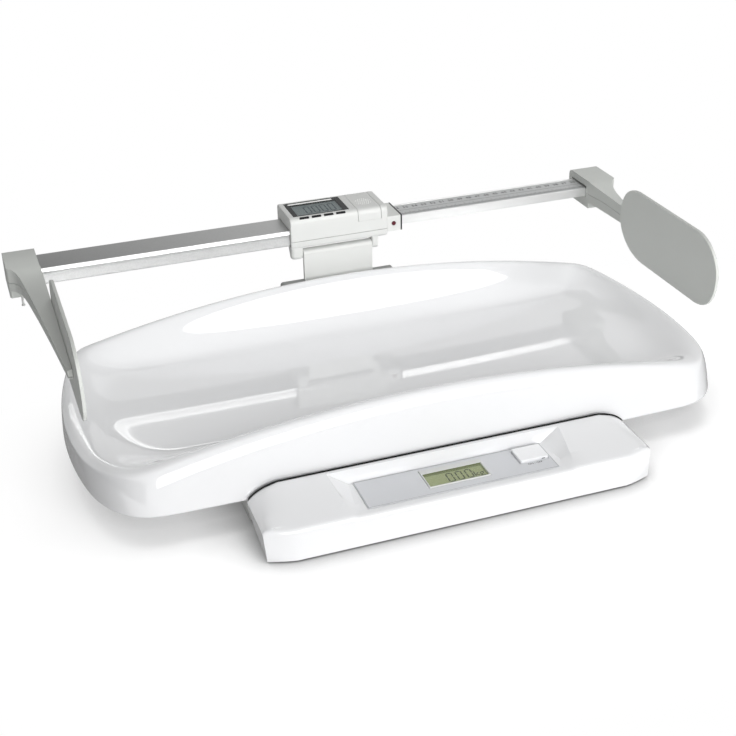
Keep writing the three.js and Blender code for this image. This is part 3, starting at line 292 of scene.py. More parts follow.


def finish(name, colour, roughness, metallic=0.0, coat=0.0, grain=900.0, stretch=1.0, bump=0.00001,
           cloud=0.03, rough_cloud=0.06, specular=0.5, cloud_scale=9.0, top=1.0, along=()):
    """A finish of this colour. The skin group varies its tone, its roughness and its relief.
    Top is the share of the tone that the sides facing up keep: painted shade on the tops. Along (x0, x1,
    share) changes that share from one place along X to another: a painted reflection that lightens the tops
    along the way."""
    material, tree, surface = new_material(name)
    skin = tree.nodes.new("ShaderNodeGroup")
    skin.node_tree = SKIN_GROUP
    feed(tree, skin, {"Scale": grain, "Stretch": stretch, "Cloud Scale": cloud_scale})
    clouded = skin.outputs["Cloud"]
    tone = remap(tree, clouded, (0.0, 1.0, 1.0 - cloud, 1.0 + cloud))
    # painted shade: the sides facing up are darkened, and along X the darkening can ease off as a painted
    # reflection
    if top < 1.0:
        place = tree.nodes.new("ShaderNodeTexCoord").outputs
        if along:
            x = add_node(tree, "ShaderNodeSeparateXYZ", {"Vector": place["Object"]})["X"]
            top = remap(tree, x, (along[0], along[1], top, along[2]))
        up = add_node(tree, "ShaderNodeSeparateXYZ", {"Vector": place["Normal"]})["Z"]
        tone = arithmetic(tree, "MULTIPLY", tone, remap(tree, up, (*PAINTED_SHADE_FACING_UP, 1.0, top)))
    tinted = add_node(tree, "ShaderNodeVectorMath", {0: colour, "Scale": tone}, "SCALE")["Vector"]
    ends = max(0.02, roughness - rough_cloud), min(1.0, roughness + rough_cloud)
    rough = remap(tree, clouded, (0.0, 1.0, *ends))
    relief = add_node(tree, "ShaderNodeBump", {
        "Distance": bump, "Height": skin.outputs["Grain"]})["Normal"]
    feed(tree, surface, {
        "Base Color": tinted, "Metallic": metallic, "Roughness": rough, "Specular IOR Level": specular,
        "Coat Weight": coat, "Coat Roughness": COAT_ROUGHNESS, "Normal": relief})
    return material


# Top paints shade on the sides that face up, and along paints a lighter reflection along X
FINISHES = {
    # name: (colour, roughness, what else differs from a plain moulding)
    "white_gloss": ((0.84, 0.845, 0.855), 0.05, dict(
        coat=0.8, bump=0.000001, cloud=0.008, rough_cloud=0.02)),
    # a copy of white_gloss for the console, with painted shade on its top
    "console_white": ((0.84, 0.845, 0.855), 0.07, dict(
        coat=0.6, bump=0.000001, cloud=0.008, rough_cloud=0.02, top=0.9)),
    # both with painted shade on their tops
    "white_satin": ((0.81, 0.82, 0.80), 0.42, dict(cloud=0.012, top=0.74)),
    "warm_grey": ((0.67, 0.69, 0.66), 0.45, dict(cloud=0.02, specular=0.4, top=0.82)),
    # a lighter copy of warm_grey for the paddles: painted light, with painted shade on their tops
    "paddle_lit_grey": ((0.73, 0.75, 0.72), 0.55, dict(cloud=0.015, specular=0.15, top=0.7)),
    "holder_grey": ((0.42, 0.43, 0.42), 0.45, dict(cloud=0.02)),
    "panel_grey": ((0.60, 0.61, 0.63), 0.3, dict(metallic=0.2, grain=2200.0, cloud=0.012)),
    "lcd_green": ((0.27, 0.31, 0.135), 0.4, dict(specular=0.1)),
    "lcd_shade": ((0.12, 0.15, 0.04), 0.5, dict(cloud=0.05, specular=0.1)),
    "line_grey": ((0.36, 0.37, 0.38), 0.5, {}),
    # for the door's grip dots, lighter than white_satin and without its painted top shade: a painted
    # highlight; also the window's white print strip
    "dot_white": ((0.93, 0.94, 0.92), 0.5, dict(cloud=0.01)),
    "window_smoke": ((0.035, 0.04, 0.04), 0.08, dict(coat=0.4, cloud=0.05)),
    "display_grey": ((0.088, 0.12, 0.122), 0.3, dict(cloud=0.05, specular=0.2)),
    "black_plastic": ((0.012, 0.012, 0.013), 0.5, dict(cloud=0.05, specular=0.25)),
    "black_rubber": ((0.014, 0.014, 0.014), 0.8, dict(
        specular=0.2, grain=1500.0, bump=0.00004, cloud=0.08)),
    "red_mark": ((0.10, 0.004, 0.014), 0.4, dict(cloud=0.04)),
    # painted shade on the top, lighter towards the head as a painted reflection
    "rod_aluminium": ((0.71, 0.715, 0.71), 0.36, dict(
        metallic=0.9, grain=1300.0, bump=0.00004, cloud=0.12, cloud_scale=700.0, top=0.43,
        along=(-0.300, -0.045, 0.77))),
    "cast_aluminium": ((0.6, 0.6, 0.6), 0.45, dict(metallic=0.9, bump=0.00006, cloud=0.06)),
    "screw_steel": ((0.55, 0.56, 0.57), 0.3, dict(metallic=1.0, cloud=0.05)),
    "board_green": ((0.02, 0.11, 0.045), 0.4, dict(cloud=0.1)),
    "cell_wrap": ((0.42, 0.24, 0.05), 0.3, dict(metallic=0.3, cloud=0.04)),
    "strip_grey": ((0.5, 0.51, 0.51), 0.35, dict(metallic=0.3, cloud=0.02)),
    "bright_aluminium": ((0.90, 0.905, 0.90), 0.3, dict(
        metallic=0.7, grain=2600.0, stretch=60.0, cloud=0.02)),
    "window_black": ((0.006, 0.008, 0.008), 0.2, dict(specular=0.2)),
    "lcd_ink": ((0.035, 0.045, 0.01), 0.5, dict(cloud=0.04, specular=0.1)),
    "window_ink": ((0.010, 0.028, 0.035), 0.5, dict(cloud=0.04, specular=0.1)),
    "print_ink": ((0.03, 0.03, 0.033), 0.6, dict(cloud=0.05)),
}
# A finish has its slot's name, apart from these
SLOTS = {
    "white_gloss": ["console_white"], "white_satin": ["dot_white"], "warm_grey": ["paddle_lit_grey"],
    "panel_grey": ["line_grey"], "lcd_green": ["lcd_shade"], "window_smoke": ["window_black"],
    "rod_aluminium": ["bright_aluminium"], "black_plastic": ["lcd_ink", "window_ink", "print_ink"],
}

slot_of = {look: slot for slot, others in SLOTS.items() for look in others}
looks = {name: finish(name, *plain, **more) for name, (*plain, more) in FINISHES.items()}
looks["lens_clear"], lens_tree, lens_surface = new_material("lens_clear")
feed(lens_tree, lens_surface, {
    "Base Color": (0.95, 0.97, 0.96, 1.0), "Roughness": 0.03, "Specular IOR Level": 0.2, "Alpha": 0.05})


def dress_nodes():
    """Every CAD node that stays gets the finish of its slot."""
    for part in frame["record"]["subparts"]:
        mesh = nodes[part["node"]].data
        mesh.materials.clear()
        mesh.materials.append(looks[part["material_slot"]])


# Making pieces

FINE = {"soft": 0.0002, "steps": 2}     # a crisp edge


def piece(name, bm, body, look, replaces=(), slot=None, smooth=35.0, subdivide=0, thick=0.0, soft=0.0,
          steps=3, turn=28.0):
    """Makes the object of a bmesh and puts it on its body. Thick gives a skin its wall, and
    soft rounds the edges that turn by more than so many degrees."""
    bmesh.ops.recalc_face_normals(bm, faces=bm.faces)
    for face in bm.faces:
        face.smooth = True
    mesh = bpy.data.meshes.new(name)
    bm.to_mesh(mesh)
    bm.free()
    if smooth < 180.0:
        mesh.set_sharp_from_angle(angle=radians(smooth))
    mesh.materials.append(looks[look])
    made = bpy.data.objects.new(name, mesh)
    scene.collection.objects.link(made)
    if thick:
        wall = made.modifiers.new("wall", "SOLIDIFY")
        wall.thickness = thick
        wall.offset = -1.0
    if soft:
        edge = made.modifiers.new("edge", "BEVEL")
        edge.width = soft
        edge.segments = steps
        edge.limit_method = "ANGLE"
        edge.angle_limit = radians(turn)
        edge.harden_normals = True
    if subdivide:
        finer = made.modifiers.new("fine", "SUBSURF")
        finer.levels = finer.render_levels = subdivide
    slot = slot or slot_of.get(look, look)
    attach(made, body)
    if replaces:
        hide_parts(*replaces)


def solid_of(node):
    """The node's own solid, with its loose triangles merged and its flat faces whole."""
    bm = bmesh.new()
    bm.from_mesh(nodes[node].data)
    bmesh.ops.remove_doubles(bm, verts=bm.verts, dist=0.000002)
    bmesh.ops.dissolve_limit(bm, angle_limit=radians(1.0), verts=bm.verts, edges=bm.edges)
    return bm


def verts_of(made):
    return [v for v in made["geom"] if isinstance(v, bmesh.types.BMVert)]


def raise_faces(bm, faces, depth):
    """Extrudes faces up along z."""
    raised = bmesh.ops.extrude_face_region(bm, geom=faces)
    bmesh.ops.translate(bm, vec=(0, 0, depth), verts=verts_of(raised))


def skin_over(rings, closed=True, caps=((), ())):
    """A skin: the first ring is drawn, and each next ring is extruded from the last one. A
    ring that isn't closed gives a sheet. Caps hold the points that the first and the last
    face have besides those of their rings."""
    def pairs(row):
        return zip(row, row[1:] + (row[:1] if closed else []))

    bm = bmesh.new()
    first = verts = [bm.verts.new(p) for p in rings[0]]
    for pair in pairs(verts):
        bm.edges.new(pair)
    for ring in rings[1:]:
        edges = [bm.edges.get(pair) for pair in pairs(verts)]
        fresh = set(verts_of(bmesh.ops.extrude_edge_only(bm, edges=edges)))
        verts = [next(e.other_vert(v) for e in v.link_edges if e.other_vert(v) in fresh) for v in verts]
        for v, p in zip(verts, ring):
            v.co = p
    for row, extra in zip((first, verts), caps):
        bm.faces.new(row + [bm.verts.new(p) for p in extra])
    return bm


def join(bm, other):
    """Adds the faces of another bmesh to this one."""
    mesh = bpy.data.meshes.new("joined")
    other.to_mesh(mesh)
    other.free()
    bm.from_mesh(mesh)
    bpy.data.meshes.remove(mesh)


def slab(outline, depth, place):
    """A flat outline in x and y, drawn up along z, and put in its place."""
    bm = bmesh.new()
    raise_faces(bm, [bm.faces.new([bm.verts.new((u, v, 0.0)) for u, v in outline])], depth)
    bmesh.ops.transform(bm, matrix=place, verts=bm.verts)
    bmesh.ops.recalc_face_normals(bm, faces=bm.faces)
    return bm


def block(low, high):
    bm = bmesh.new()
    size, middle = Vector(high) - Vector(low), (Vector(high) + Vector(low)) / 2
    place = Matrix.Translation(middle) @ Matrix.Diagonal((*size, 1.0))
    bmesh.ops.create_cube(bm, size=1.0, matrix=place)
    return bm


def surround(outer, inner, low, high):
    """A flat rectangular ring between two heights. Outer and inner are (x0, y0, x1, y1)."""
    bm = bmesh.new()
    loops = []
    for corners in (rectangle(*outer, low), rectangle(*inner, low)):
        verts = [bm.verts.new(c) for c in corners]
        loops += [bm.edges.new(pair) for pair in zip(verts, verts[1:] + verts[:1])]
    raise_faces(bm, bmesh.ops.bridge_loops(bm, edges=loops)["faces"], high - low)
    return bm


def lettering(words, height, middle):
    """Plain words or numbers as a thin raised print on the place of their middle."""
    curve = bpy.data.curves.new("print", "FONT")
    curve.body = words
    curve.size = height
    curve.align_x = curve.align_y = "CENTER"
    curve.extrude = PRINT_DEPTH / 2
    curve.resolution_u = 2
    mesh = bpy.data.meshes.new_from_object(bpy.data.objects.new("print", curve))
    bm = bmesh.new()
    bm.from_mesh(mesh)
    bpy.data.meshes.remove(mesh)
    bpy.data.curves.remove(curve)
    bmesh.ops.remove_doubles(bm, verts=bm.verts, dist=0.000001)
    bmesh.ops.translate(bm, vec=middle + Vector((0, 0, PRINT_DEPTH / 2)), verts=bm.verts)
    return bm


def noughts(count, width, height, pitch, middle):
    """Digits of six thin dark bars each, with the middle of the first one at the place."""
    bm = bmesh.new()
    bar = width * 0.25
    point = bar / 2
    x, high, mid = width / 2, height / 2, height / 4
    bars = ((0, high, 0), (x, mid, 90), (x, -mid, 90), (0, -high, 0), (-x, -mid, 90), (-x, mid, 90))
    for i in range(count):
        for u, v, turn in bars:
            half = (height / 2 - bar * 0.25 if turn else width - bar * 0.5) / 2
            outline = [(-half, 0), (-half + point, -point), (half - point, -point), (half, 0),
                       (half - point, point), (-half + point, point)]
            place = Matrix.Translation(middle + Vector((u + i * pitch, v, 0)))
            join(bm, slab(outline, PRINT_DEPTH, place @ Matrix.Rotation(radians(turn), 4, "Z")))
    return bm


# Numbers and curves

def mix(a, b, share):
    return a + (b - a) * share


def ladder(stations, value):
    """The value of a table of (place, value) rows at a place, in straight runs."""
    for (a, x), (b, y) in zip(stations, stations[1:]):
        if value <= b:
            return mix(x, y, max(0.0, (value - a) / (b - a)))
    return stations[-1][1]


def bend(a, b, c, steps):
    """Points of a curve from a to c that b pulls, without its last point."""
    turns = [i / steps for i in range(steps)]
    return [a.lerp(b, t).lerp(b.lerp(c, t), t) for t in turns]


def arc(y, z, radius, start, end, steps):
    """Points (y, z) of an arc about a centre, from one angle in degrees to another."""
    turns = [radians(mix(start, end, i / steps)) for i in range(steps + 1)]
    return [(y + radius * cos(t), z + radius * sin(t)) for t in turns]


def plate_outline(long, wide, radius):
    """A rectangle with round corners."""
    points = []
    for i, (x, y) in enumerate(((1, 1), (-1, 1), (-1, -1), (1, -1))):
        points += arc(x * (long / 2 - radius), y * (wide / 2 - radius), radius, 90 * i, 90 * (i + 1), 5)
    return points


def at_x(x, points):
    """Points (y, z) in the plane across x."""
    return [Vector((x, y, z)) for y, z in points]


# Tray. Three outlines in plan carry it: the skirt's foot, the rim's crest and
# the edge of the floor. Tables of shares lead its skin from one to the next.

TRAY = Table(
    rim_end=0.0490,  # the crest's height at the ends; in the middle it is the node's top
    floor=0.0406, end_rise=0.0034, flat_half=0.110, thick=0.0028, end_bulge=0.025,
    crest_lift=0.0010,  # the smoothing takes it off again
    front_corner=0.052, back_corner=0.018, bow=0.003, edge_steps=9, corner_steps=5,
    back_in=0.0065,  # how much narrower the crest is at its back
    crest={"front": 0.0185, "back": 0.0065, "end": 0.0},
    floor_edge={"front": 0.074, "back": 0.042, "end": 0.046})
# in and up along the skirt, then in and down along the inner wall
SKIRT_SHARES = [(0, 0), (0.015, 0.03), (0.22, 0.42), (0.45, 0.76), (0.65, 0.92), (0.82, 0.985)]
INNER_SHARES = [
    (0, 1), (0.08, 0.985), (0.17, 0.9), (0.3, 0.67), (0.45, 0.4), (0.62, 0.18), (0.8, 0.045), (1, 0)]
FLOOR_SHARES = [(0.93, 0.96), (0.75, 0.85), (0.4, 0.55), (0.1, 0.15)]


def tray_outline(low, high, inset):
    """The tray's outline in plan, that far inside its foot."""
    front, back = low.y + inset["front"], high.y - inset["back"]
    middle = (front + back) / 2
    centre = (low.x + high.x) / 2
    half = (high.x - low.x) / 2 - inset["end"]
    third = (back - front) / 3
    front_turn = front + min(TRAY.front_corner, third)
    back_turn = back - min(TRAY.back_corner, third)
    bow, edges, corners = TRAY.bow, TRAY.edge_steps, TRAY.corner_steps

    def side(y):
        return Vector((half - TRAY.end_bulge * ((y - middle) / (middle - front)) ** 2, y))

    def edge(u, y, sign, end):
        return Vector((u * end, y + sign * bow * u ** 2))

    front_end = side(front_turn).x - (front_turn - front)
    back_end = side(back_turn).x - (back - back_turn)
    right = [edge(i / edges, front, 1, front_end) for i in range(edges)]
    pull = Vector((side(front).x, front + bow))
    right += bend(edge(1, front, 1, front_end), pull, side(front_turn), corners)
    right += [side(mix(front_turn, back_turn, i / edges)) for i in range(edges)]
    pull = Vector((side(back).x, back - bow))
    right += bend(side(back_turn), pull, edge(1, back, -1, back_end), corners)
    right += [edge(1 - i / edges, back, -1, back_end) for i in range(edges + 1)]
    left = [Vector((-p.x, p.y)) for p in reversed(right[1:-1])]
    return [Vector((p.x + centre, p.y)) for p in right + left]


def tray_rings(low, high, skin):
    """Rings of the tray's skin from the skirt's foot over the rim to the floor. The skin is
    0 for the upper side and the wall's thickness for the under side."""
    centre = (low.x + high.x) / 2
    half = (high.x - low.x) / 2
    foot = tray_outline(low, high, {"front": skin, "back": skin, "end": skin})
    narrow, wide = TRAY.back_in / half, high.y - low.y
    crest = [Vector((mix(p.x, centre, narrow * ((p.y - low.y) / wide) ** 2), p.y))
             for p in tray_outline(low, high, TRAY.crest)]
    floor = tray_outline(low, high, TRAY.floor_edge)

    def rim(x):
        top = high.z + TRAY.crest_lift
        return top - (top - TRAY.rim_end) * ((x - centre) / half) ** 2 - skin

    def bed(x):
        past = max(0.0, abs(x - centre) - TRAY.flat_half) / (half - TRAY.flat_half)
        return TRAY.floor + TRAY.end_rise * past ** 2 - skin

    def rings_between(outer, inner, shares, bottom):
        plans = [([a.lerp(b, inward) for a, b in zip(outer, inner)], up) for inward, up in shares]
        return [[Vector((p.x, p.y, mix(bottom(p.x), rim(p.x), up))) for p in plan] for plan, up in plans]

    rings = rings_between(foot, crest, SKIRT_SHARES, lambda x: low.z)
    rings += rings_between(crest, floor, INNER_SHARES, bed)
    middle = (low.y + high.y) / 2
    for along, across in FLOOR_SHARES:
        plan = [Vector((mix(centre, p.x, along), mix(middle, p.y, across))) for p in floor]
        rings.append([Vector((p.x, p.y, bed(p.x))) for p in plan])
    return rings


def add_tray():
    low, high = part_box("tray")
    rings = tray_rings(low, high, TRAY.thick)[::-1] + tray_rings(low, high, 0.0)
    piece("tray_shell", skin_over(rings), "tray", "white_gloss", ["tray"], smooth=180, subdivide=2)


# Console: a skin of rings along x. Each ring runs from the front's foot over the
# nose and the top to the back. Rings inside the recess lie on its floor.

CONSOLE = Table(
    foot=0.002, bow=0.0068, depth=0.0485, top=0.041, waist=0.0275, shoulder=0.146, half=0.170,
    swell=0.0019, back_bend=0.030, back_foot=0.0185, corner_power=1.35, wall=0.002,
    lean=0.0017,  # how far the front leans back at the nose's lower edge
    half_lean=(0.35, 0.012),  # the share of the lean at this height
    nose=0.030, nose_low=0.024, nose_run=0.0065, nose_pull=0.0006,
    crease=0.0012,  # how softly the top turns into the ends
    crease_reach=0.004)
RECESS = Table(
    floor=0.0285, back=0.043, crest_back=0.0452, nose_cut=0.0008,
    foot_half=(0.094, 0.0875), crest_half=(0.0985, 0.105))  # at the front and at the back
CONSOLE_ROWS = [0.003, 0.0135, 0.0178, 0.0317, 0.0386, 0.043, 0.046, 0.0485]
# x of the rings right of the middle, and the cuts of the end's curve
CONSOLE_RINGS = [
    (0.0255, "floor"), (0.0565, "floor"), (0.0835, "floor"), (0.0875, "foot_edge"),
    (0.105, "crest_edge"), (0.113, "plain"), (0.125, "plain"), (0.138, "plain"),
    (CONSOLE.shoulder, "plain")]
CONSOLE_CUTS = (0.15, 0.3, 0.45, 0.58, 0.7, 0.8, 0.88, 0.94, 1.0)
CONSOLE_MIDDLE = Vector((sum(c.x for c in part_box("console_cover")) / 2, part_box("console_cover")[0].y, 0))
# (x0, x1), (y0, y1) of the display's and the key's holes
HOLES = [((-0.0258, 0.0255), (0.0135, 0.0317)), ((0.0565, 0.0835), (0.0178, 0.0386))]


def console_slope(y):
    c = CONSOLE
    nose_end = c.nose_run - c.bow
    return mix(c.nose, c.top, (y - nose_end) / (c.depth - nose_end))


def console_end(t):
    """A point (x, z) on the curve from the flat top down to the end's waist."""
    c = CONSOLE
    start, end = Vector((c.shoulder, c.top)), Vector((c.half + c.swell, c.waist))
    pull = Vector((mix(start.x, c.half, 0.8), mix(start.y, end.y, 0.25)))
    return start.lerp(pull, t).lerp(pull.lerp(end, t), t)


def console_ring(x, kind):
    """The ring at x: plain, on the recess's floor, or on the foot or crest of its end wall."""
    c, r = CONSOLE, RECESS
    side = copysign(1.0, x)
    past = max(0.0, abs(x) - c.shoulder) / (c.half + c.swell - c.shoulder)
    front = -c.bow * (1.0 - past ** c.corner_power)
    sunk = kind in ("floor", "foot_edge")
    nose_end = Vector((front + c.nose_run - (r.nose_cut if sunk else 0.0),
                       r.floor if sunk else c.nose))
    nose_start = Vector((front + c.lean, c.nose_low))
    pull = Vector((nose_start.x + c.nose_pull, nose_end.y - c.nose_pull))
    share, middle = c.half_lean
    profile = [Vector((front, c.foot)), Vector((front + c.lean * share, middle))]
    profile += bend(nose_start, pull, nose_end, 5) + [nose_end]
    for y in CONSOLE_ROWS:
        if kind == "crest_edge" and y == r.back:
            y = r.crest_back
        profile.append(Vector((y, r.floor if sunk and y <= r.back else console_slope(y))))
    profile += [Vector((c.depth, c.back_bend)), Vector((c.depth, c.back_foot))]
    if past > 0.0:
        high = ladder([tuple(console_end(i / 40)) for i in range(41)], abs(x))
        k = c.crease * min(1.0, past * 4)
    ring = []
    for y, z in profile:
        if past > 0.0 and z > c.waist - c.crease_reach:
            z = -k * log(exp(-z / k) + exp(-high / k))
        share = min(1.0, max(0.0, y / r.back))
        at = abs(x)
        if kind == "foot_edge":
            at = mix(*r.foot_half, share)
        elif kind == "crest_edge":
            at = mix(*r.crest_half, share)
        at -= past * c.swell * max(0.0, 1.0 - (z - c.foot) / (c.waist - c.foot))
        ring.append(Vector((side * at, y + c.bow, z)) + CONSOLE_MIDDLE)
    return ring


def add_console():
    half = CONSOLE_RINGS + [(console_end(t).x, "plain") for t in CONSOLE_CUTS]
    left = [(-x, kind) for x, kind in reversed(half)]
    bm = skin_over([console_ring(x, kind) for x, kind in left + half], closed=False)
    origin = CONSOLE_MIDDLE + Vector((0, CONSOLE.bow, 0))
    cut = []
    for face in bm.faces:
        place = face.calc_center_median() - origin
        flat = abs(place.z - RECESS.floor) < 0.0001
        if flat and any(x0 < place.x < x1 and y0 < place.y < y1 for (x0, x1), (y0, y1) in HOLES):
            cut.append(face)
    bmesh.ops.delete(bm, geom=cut, context="FACES")
    piece("console_shell", bm, "base", "console_white", ["console_cover"], smooth=32.0,
          thick=CONSOLE.wall, soft=0.0007)


GAP_SHADOW = Table(gap=0.0001, thick=0.0008, rise=0.0013, height=0.008, foot=0.0245)


def add_gap_shadow():
    """A black strip along the console's back edge, in front of the tray: the painted shadow of the gap
    between the console and the tray.
    """
    curve = [console_end(i / 12) for i in range(12)]
    mirrored = [Vector((-p.x, p.y)) for p in reversed(curve)]
    front = CONSOLE_MIDDLE.y + CONSOLE.bow + CONSOLE.depth + GAP_SHADOW.gap
    back = front + GAP_SHADOW.thick
    rings = []
    for p in mirrored + [Vector((0.0, CONSOLE.top))] + curve:
        top = p.y + GAP_SHADOW.rise
        low = max(top - GAP_SHADOW.height, GAP_SHADOW.foot)
        corners = (front, low), (back, low), (back, top), (front, top)
        rings.append(at_x(p.x + CONSOLE_MIDDLE.x, corners))
    # painted shadow: the strip is black to stand for the dark gap
    piece("console_gap_shadow", skin_over(rings), "base", "black_rubber", **FINE)


PANEL_LINE = (0.0003, 0.0008)        # how far the printed line's edges are inside the panel's
LCD = Table(
    margins=(0.0009, 0.0007, 0.0014),  # the frame's width at the left, the front and the right
    sunk=0.0003, face=0.0001,  # the display's foot and face, from the frame's foot
    cover=(0.0006, 0.0002),  # its two sides, under the frame's top
    shade=(0.0026, 0.0014),  # the frame's painted shadow at the back and at the right
    wall=(0.0002, 0.0003),  # the wall behind, painted dark as shade: its thickness, and its top under the frame's
    digits=(0.0048, 0.0116, 0.0084), digits_at=Vector((-0.0051, -0.0008, 0)),
    unit_height=0.0105, unit_at=Vector((0.0195, -0.0034, 0)))


def add_display():
    low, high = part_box("display_panel")
    piece("panel_film", solid_of("display_panel"), "base", "panel_grey", ["display_panel"],
          soft=0.00015, steps=2)
    outer, inner = [(low.x + d, low.y + d, high.x - d, high.y - d) for d in PANEL_LINE]
    piece("panel_line", surround(outer, inner, high.z, high.z + PRINT_DEPTH), "base", "line_grey")
    low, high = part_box("display_bezel")
    left, front, right = LCD.margins
    x0, y0, x1, y1 = low.x + left, low.y + front, high.x - right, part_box("display_lens")[1].y
    bezel = surround((low.x, low.y, high.x, high.y), (x0, y0, x1, y1), low.z, high.z)
    piece("display_frame", bezel, "base", "white_satin", ["display_bezel"], "white_gloss", **FINE)
    face = low.z + LCD.face
    piece("display_face", block((x0, y0, low.z - LCD.sunk), (x1, y1, face)), "base", "lcd_green")
    printed = face + PRINT_DEPTH
    back, side = LCD.shade
    wall, under = LCD.wall
    # painted shadow of the frame on the display, and the wall behind it painted dark
    shade = block((x0, y1 - back, face), (x1, y1, printed))
    join(shade, block((x1 - side, y0, face), (x1, y1 - back, printed)))
    join(shade, block((x0, y1 - wall, printed), (x1, y1, high.z - under)))
    piece("display_shade", shade, "base", "lcd_shade")
    foot, top = (high.z - under for under in LCD.cover)
    piece("display_cover", block((x0, y0, foot), (x1, y1, top)), "base", "lens_clear", ["display_lens"])
    middle = Vector(((x0 + x1) / 2, (y0 + y1) / 2, face))
    ink = noughts(3, *LCD.digits, middle + LCD.digits_at)
    join(ink, lettering("kg", LCD.unit_height, middle + LCD.unit_at))
    piece("display_digits", ink, "base", "lcd_ink", smooth=20)


KEY = Table(
    flange=0.0012,
    rounds=(0.0014, 0.002),  # of the key's and of its flange's corners
    mark=((0.0065, -0.0023), (0.0095, -0.0015)),  # x from the middle, z from the top
    words_at=(-0.001, -0.0020),  # x from the middle, y from the front
    words_height=0.0032)


def add_weigh_key():
    low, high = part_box("weigh_button")
    flange = KEY.flange
    middle = (low.x + high.x) / 2
    long, wide = high.x - low.x, high.y - low.y
    foot = Matrix.Translation((middle, (low.y + high.y) / 2, low.z))
    round_, flange_round = KEY.rounds
    key = slab(plate_outline(long - 2 * flange, wide - 2 * flange, round_), high.z - low.z, foot)
    join(key, slab(plate_outline(long, wide, flange_round), flange, foot))
    piece("weigh_key", key, "weigh_button", "white_gloss", ["weigh_button"], soft=0.0008, steps=4)
    front, back = low.y + flange - PRINT_DEPTH, low.y + flange + PRINT_DEPTH
    (x0, z0), (x1, z1) = KEY.mark
    mark = block((middle + x0, front, high.z + z0), (middle + x1, back, high.z + z1))
    piece("key_mark", mark, "weigh_button", "print_ink")
    x, y = KEY.words_at
    place = Vector((middle + x, low.y + y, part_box("display_panel")[1].z))
    piece("switch_words", lettering("ON / OFF", KEY.words_height, place), "base", "print_ink", smooth=20)


# Brackets: an upper and a lower shell, each a row of rings from the tip of the
# arm to the back of the head. The paddle's tongue and the rod sit in notches.

ARM = Table(
    # distances from the tip, and the width there, from the inner face
    width=[
        (0.0, 0.004), (0.06, 0.0082), (0.12, 0.0132), (0.160, 0.0170), (0.174, 0.0187), (0.183, 0.0204),
        (0.190, 0.0226), (0.1955, 0.0256), (0.1990, 0.0290), (0.2004, 0.02985), (0.243, 0.02985)],
    # the top, from the node's
    top=[
        (0.0, -0.0070), (0.12, -0.0018), (0.196, -0.0001), (0.201, 0.0), (0.2375, 0.0),
        (0.2395, -0.0004), (0.2412, -0.0013), (0.2424, -0.0028), (0.243, -0.005)],
    # how much lower the top is at its outer edge
    fall=[
        (0.0, 0.0012), (0.05, 0.0042), (0.10, 0.0058), (0.160, 0.0058), (0.178, 0.0043), (0.196, 0.0),
        (0.243, 0.0)],
    # the foot, from the node's
    bottom=[
        (0.0, 0.0130), (0.12, 0.0092), (0.160, 0.0076), (0.1980, 0.0060), (0.1984, -0.0012),
        (0.243, -0.0012)],
    seam_rise=[
        (0.0, 0.0), (0.118, 0.0), (0.128, 0.0025), (0.165, 0.003), (0.185, 0.0016), (0.2004, 0.0),
        (0.243, 0.0)],
    cuts=[
        0.0, 0.03, 0.06, 0.09, 0.12, 0.128, 0.14, 0.160, 0.169, 0.174, 0.179, 0.183, 0.187, 0.190, 0.193,
        0.1955, 0.1980, 0.1984, 0.1992, 0.2004, 0.21, 0.2375, 0.2395, 0.2412, 0.2424, 0.243],
    head=0.196, head_step=0.0006, seam=0.129, seam_gap=0.0002, clear=0.0007,
    groove=0.008,  # how deep the closed seam is
    tongue=(0.043, 0.116),  # from and to this distance from the tip
    tongue_notch=(0.0075, 0.0012),  # its depth and its height
    rod_notch=0.0206,
    notch_share=0.6,  # of the width, at the most
    lip=0.0001,  # how short the way into a notch is
    apart=0.0004,  # how near to a notch no other ring lies
)


def shell_ring(at, side, inner, upper, far_z, notch):
    """A ring of a bracket's shell, at this distance from the tip. Its notch takes the rod or
    the tongue, and far_z is the bracket's top or foot."""
    width = ladder(ARM.width, at)
    step = ARM.head_step if at > ARM.head else 0.0
    depth, height = notch
    depth = min(depth, width * ARM.notch_share)
    seam = ARM.seam + ladder(ARM.seam_rise, at)
    if upper:
        edge, far = seam + ARM.seam_gap, far_z + ladder(ARM.top, at)
        lip, outer = edge + height, far - ladder(ARM.fall, at)
    else:
        edge, far = seam - ARM.seam_gap, far_z + ladder(ARM.bottom, at)
        lip, outer = edge - height, far
    width += step
    plan = [(step, lip), (depth, lip), (depth, edge), (width, edge), (width, outer), (step, far)]
    return [(inner + side * x, z) for x, z in plan]


ROD_BACK = 0.0022                # how far the rods and their cap reach past their nodes' back


def rod_box(node):
    """The box of a rod's node, with its back where the piece has it."""
    low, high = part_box(node)
    return low, high + Vector((0, ROD_BACK, 0))


def deeper(node):
    """The node's own solid, drawn out to the rods' back."""
    low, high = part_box(node)
    share = 1 + ROD_BACK / (high.y - low.y)
    bm = solid_of(node)
    drawn = Matrix.Translation((0, low.y * (1 - share), 0)) @ Matrix.Diagonal((1, share, 1, 1))
    bmesh.ops.transform(bm, matrix=drawn, verts=bm.verts)
    return bm


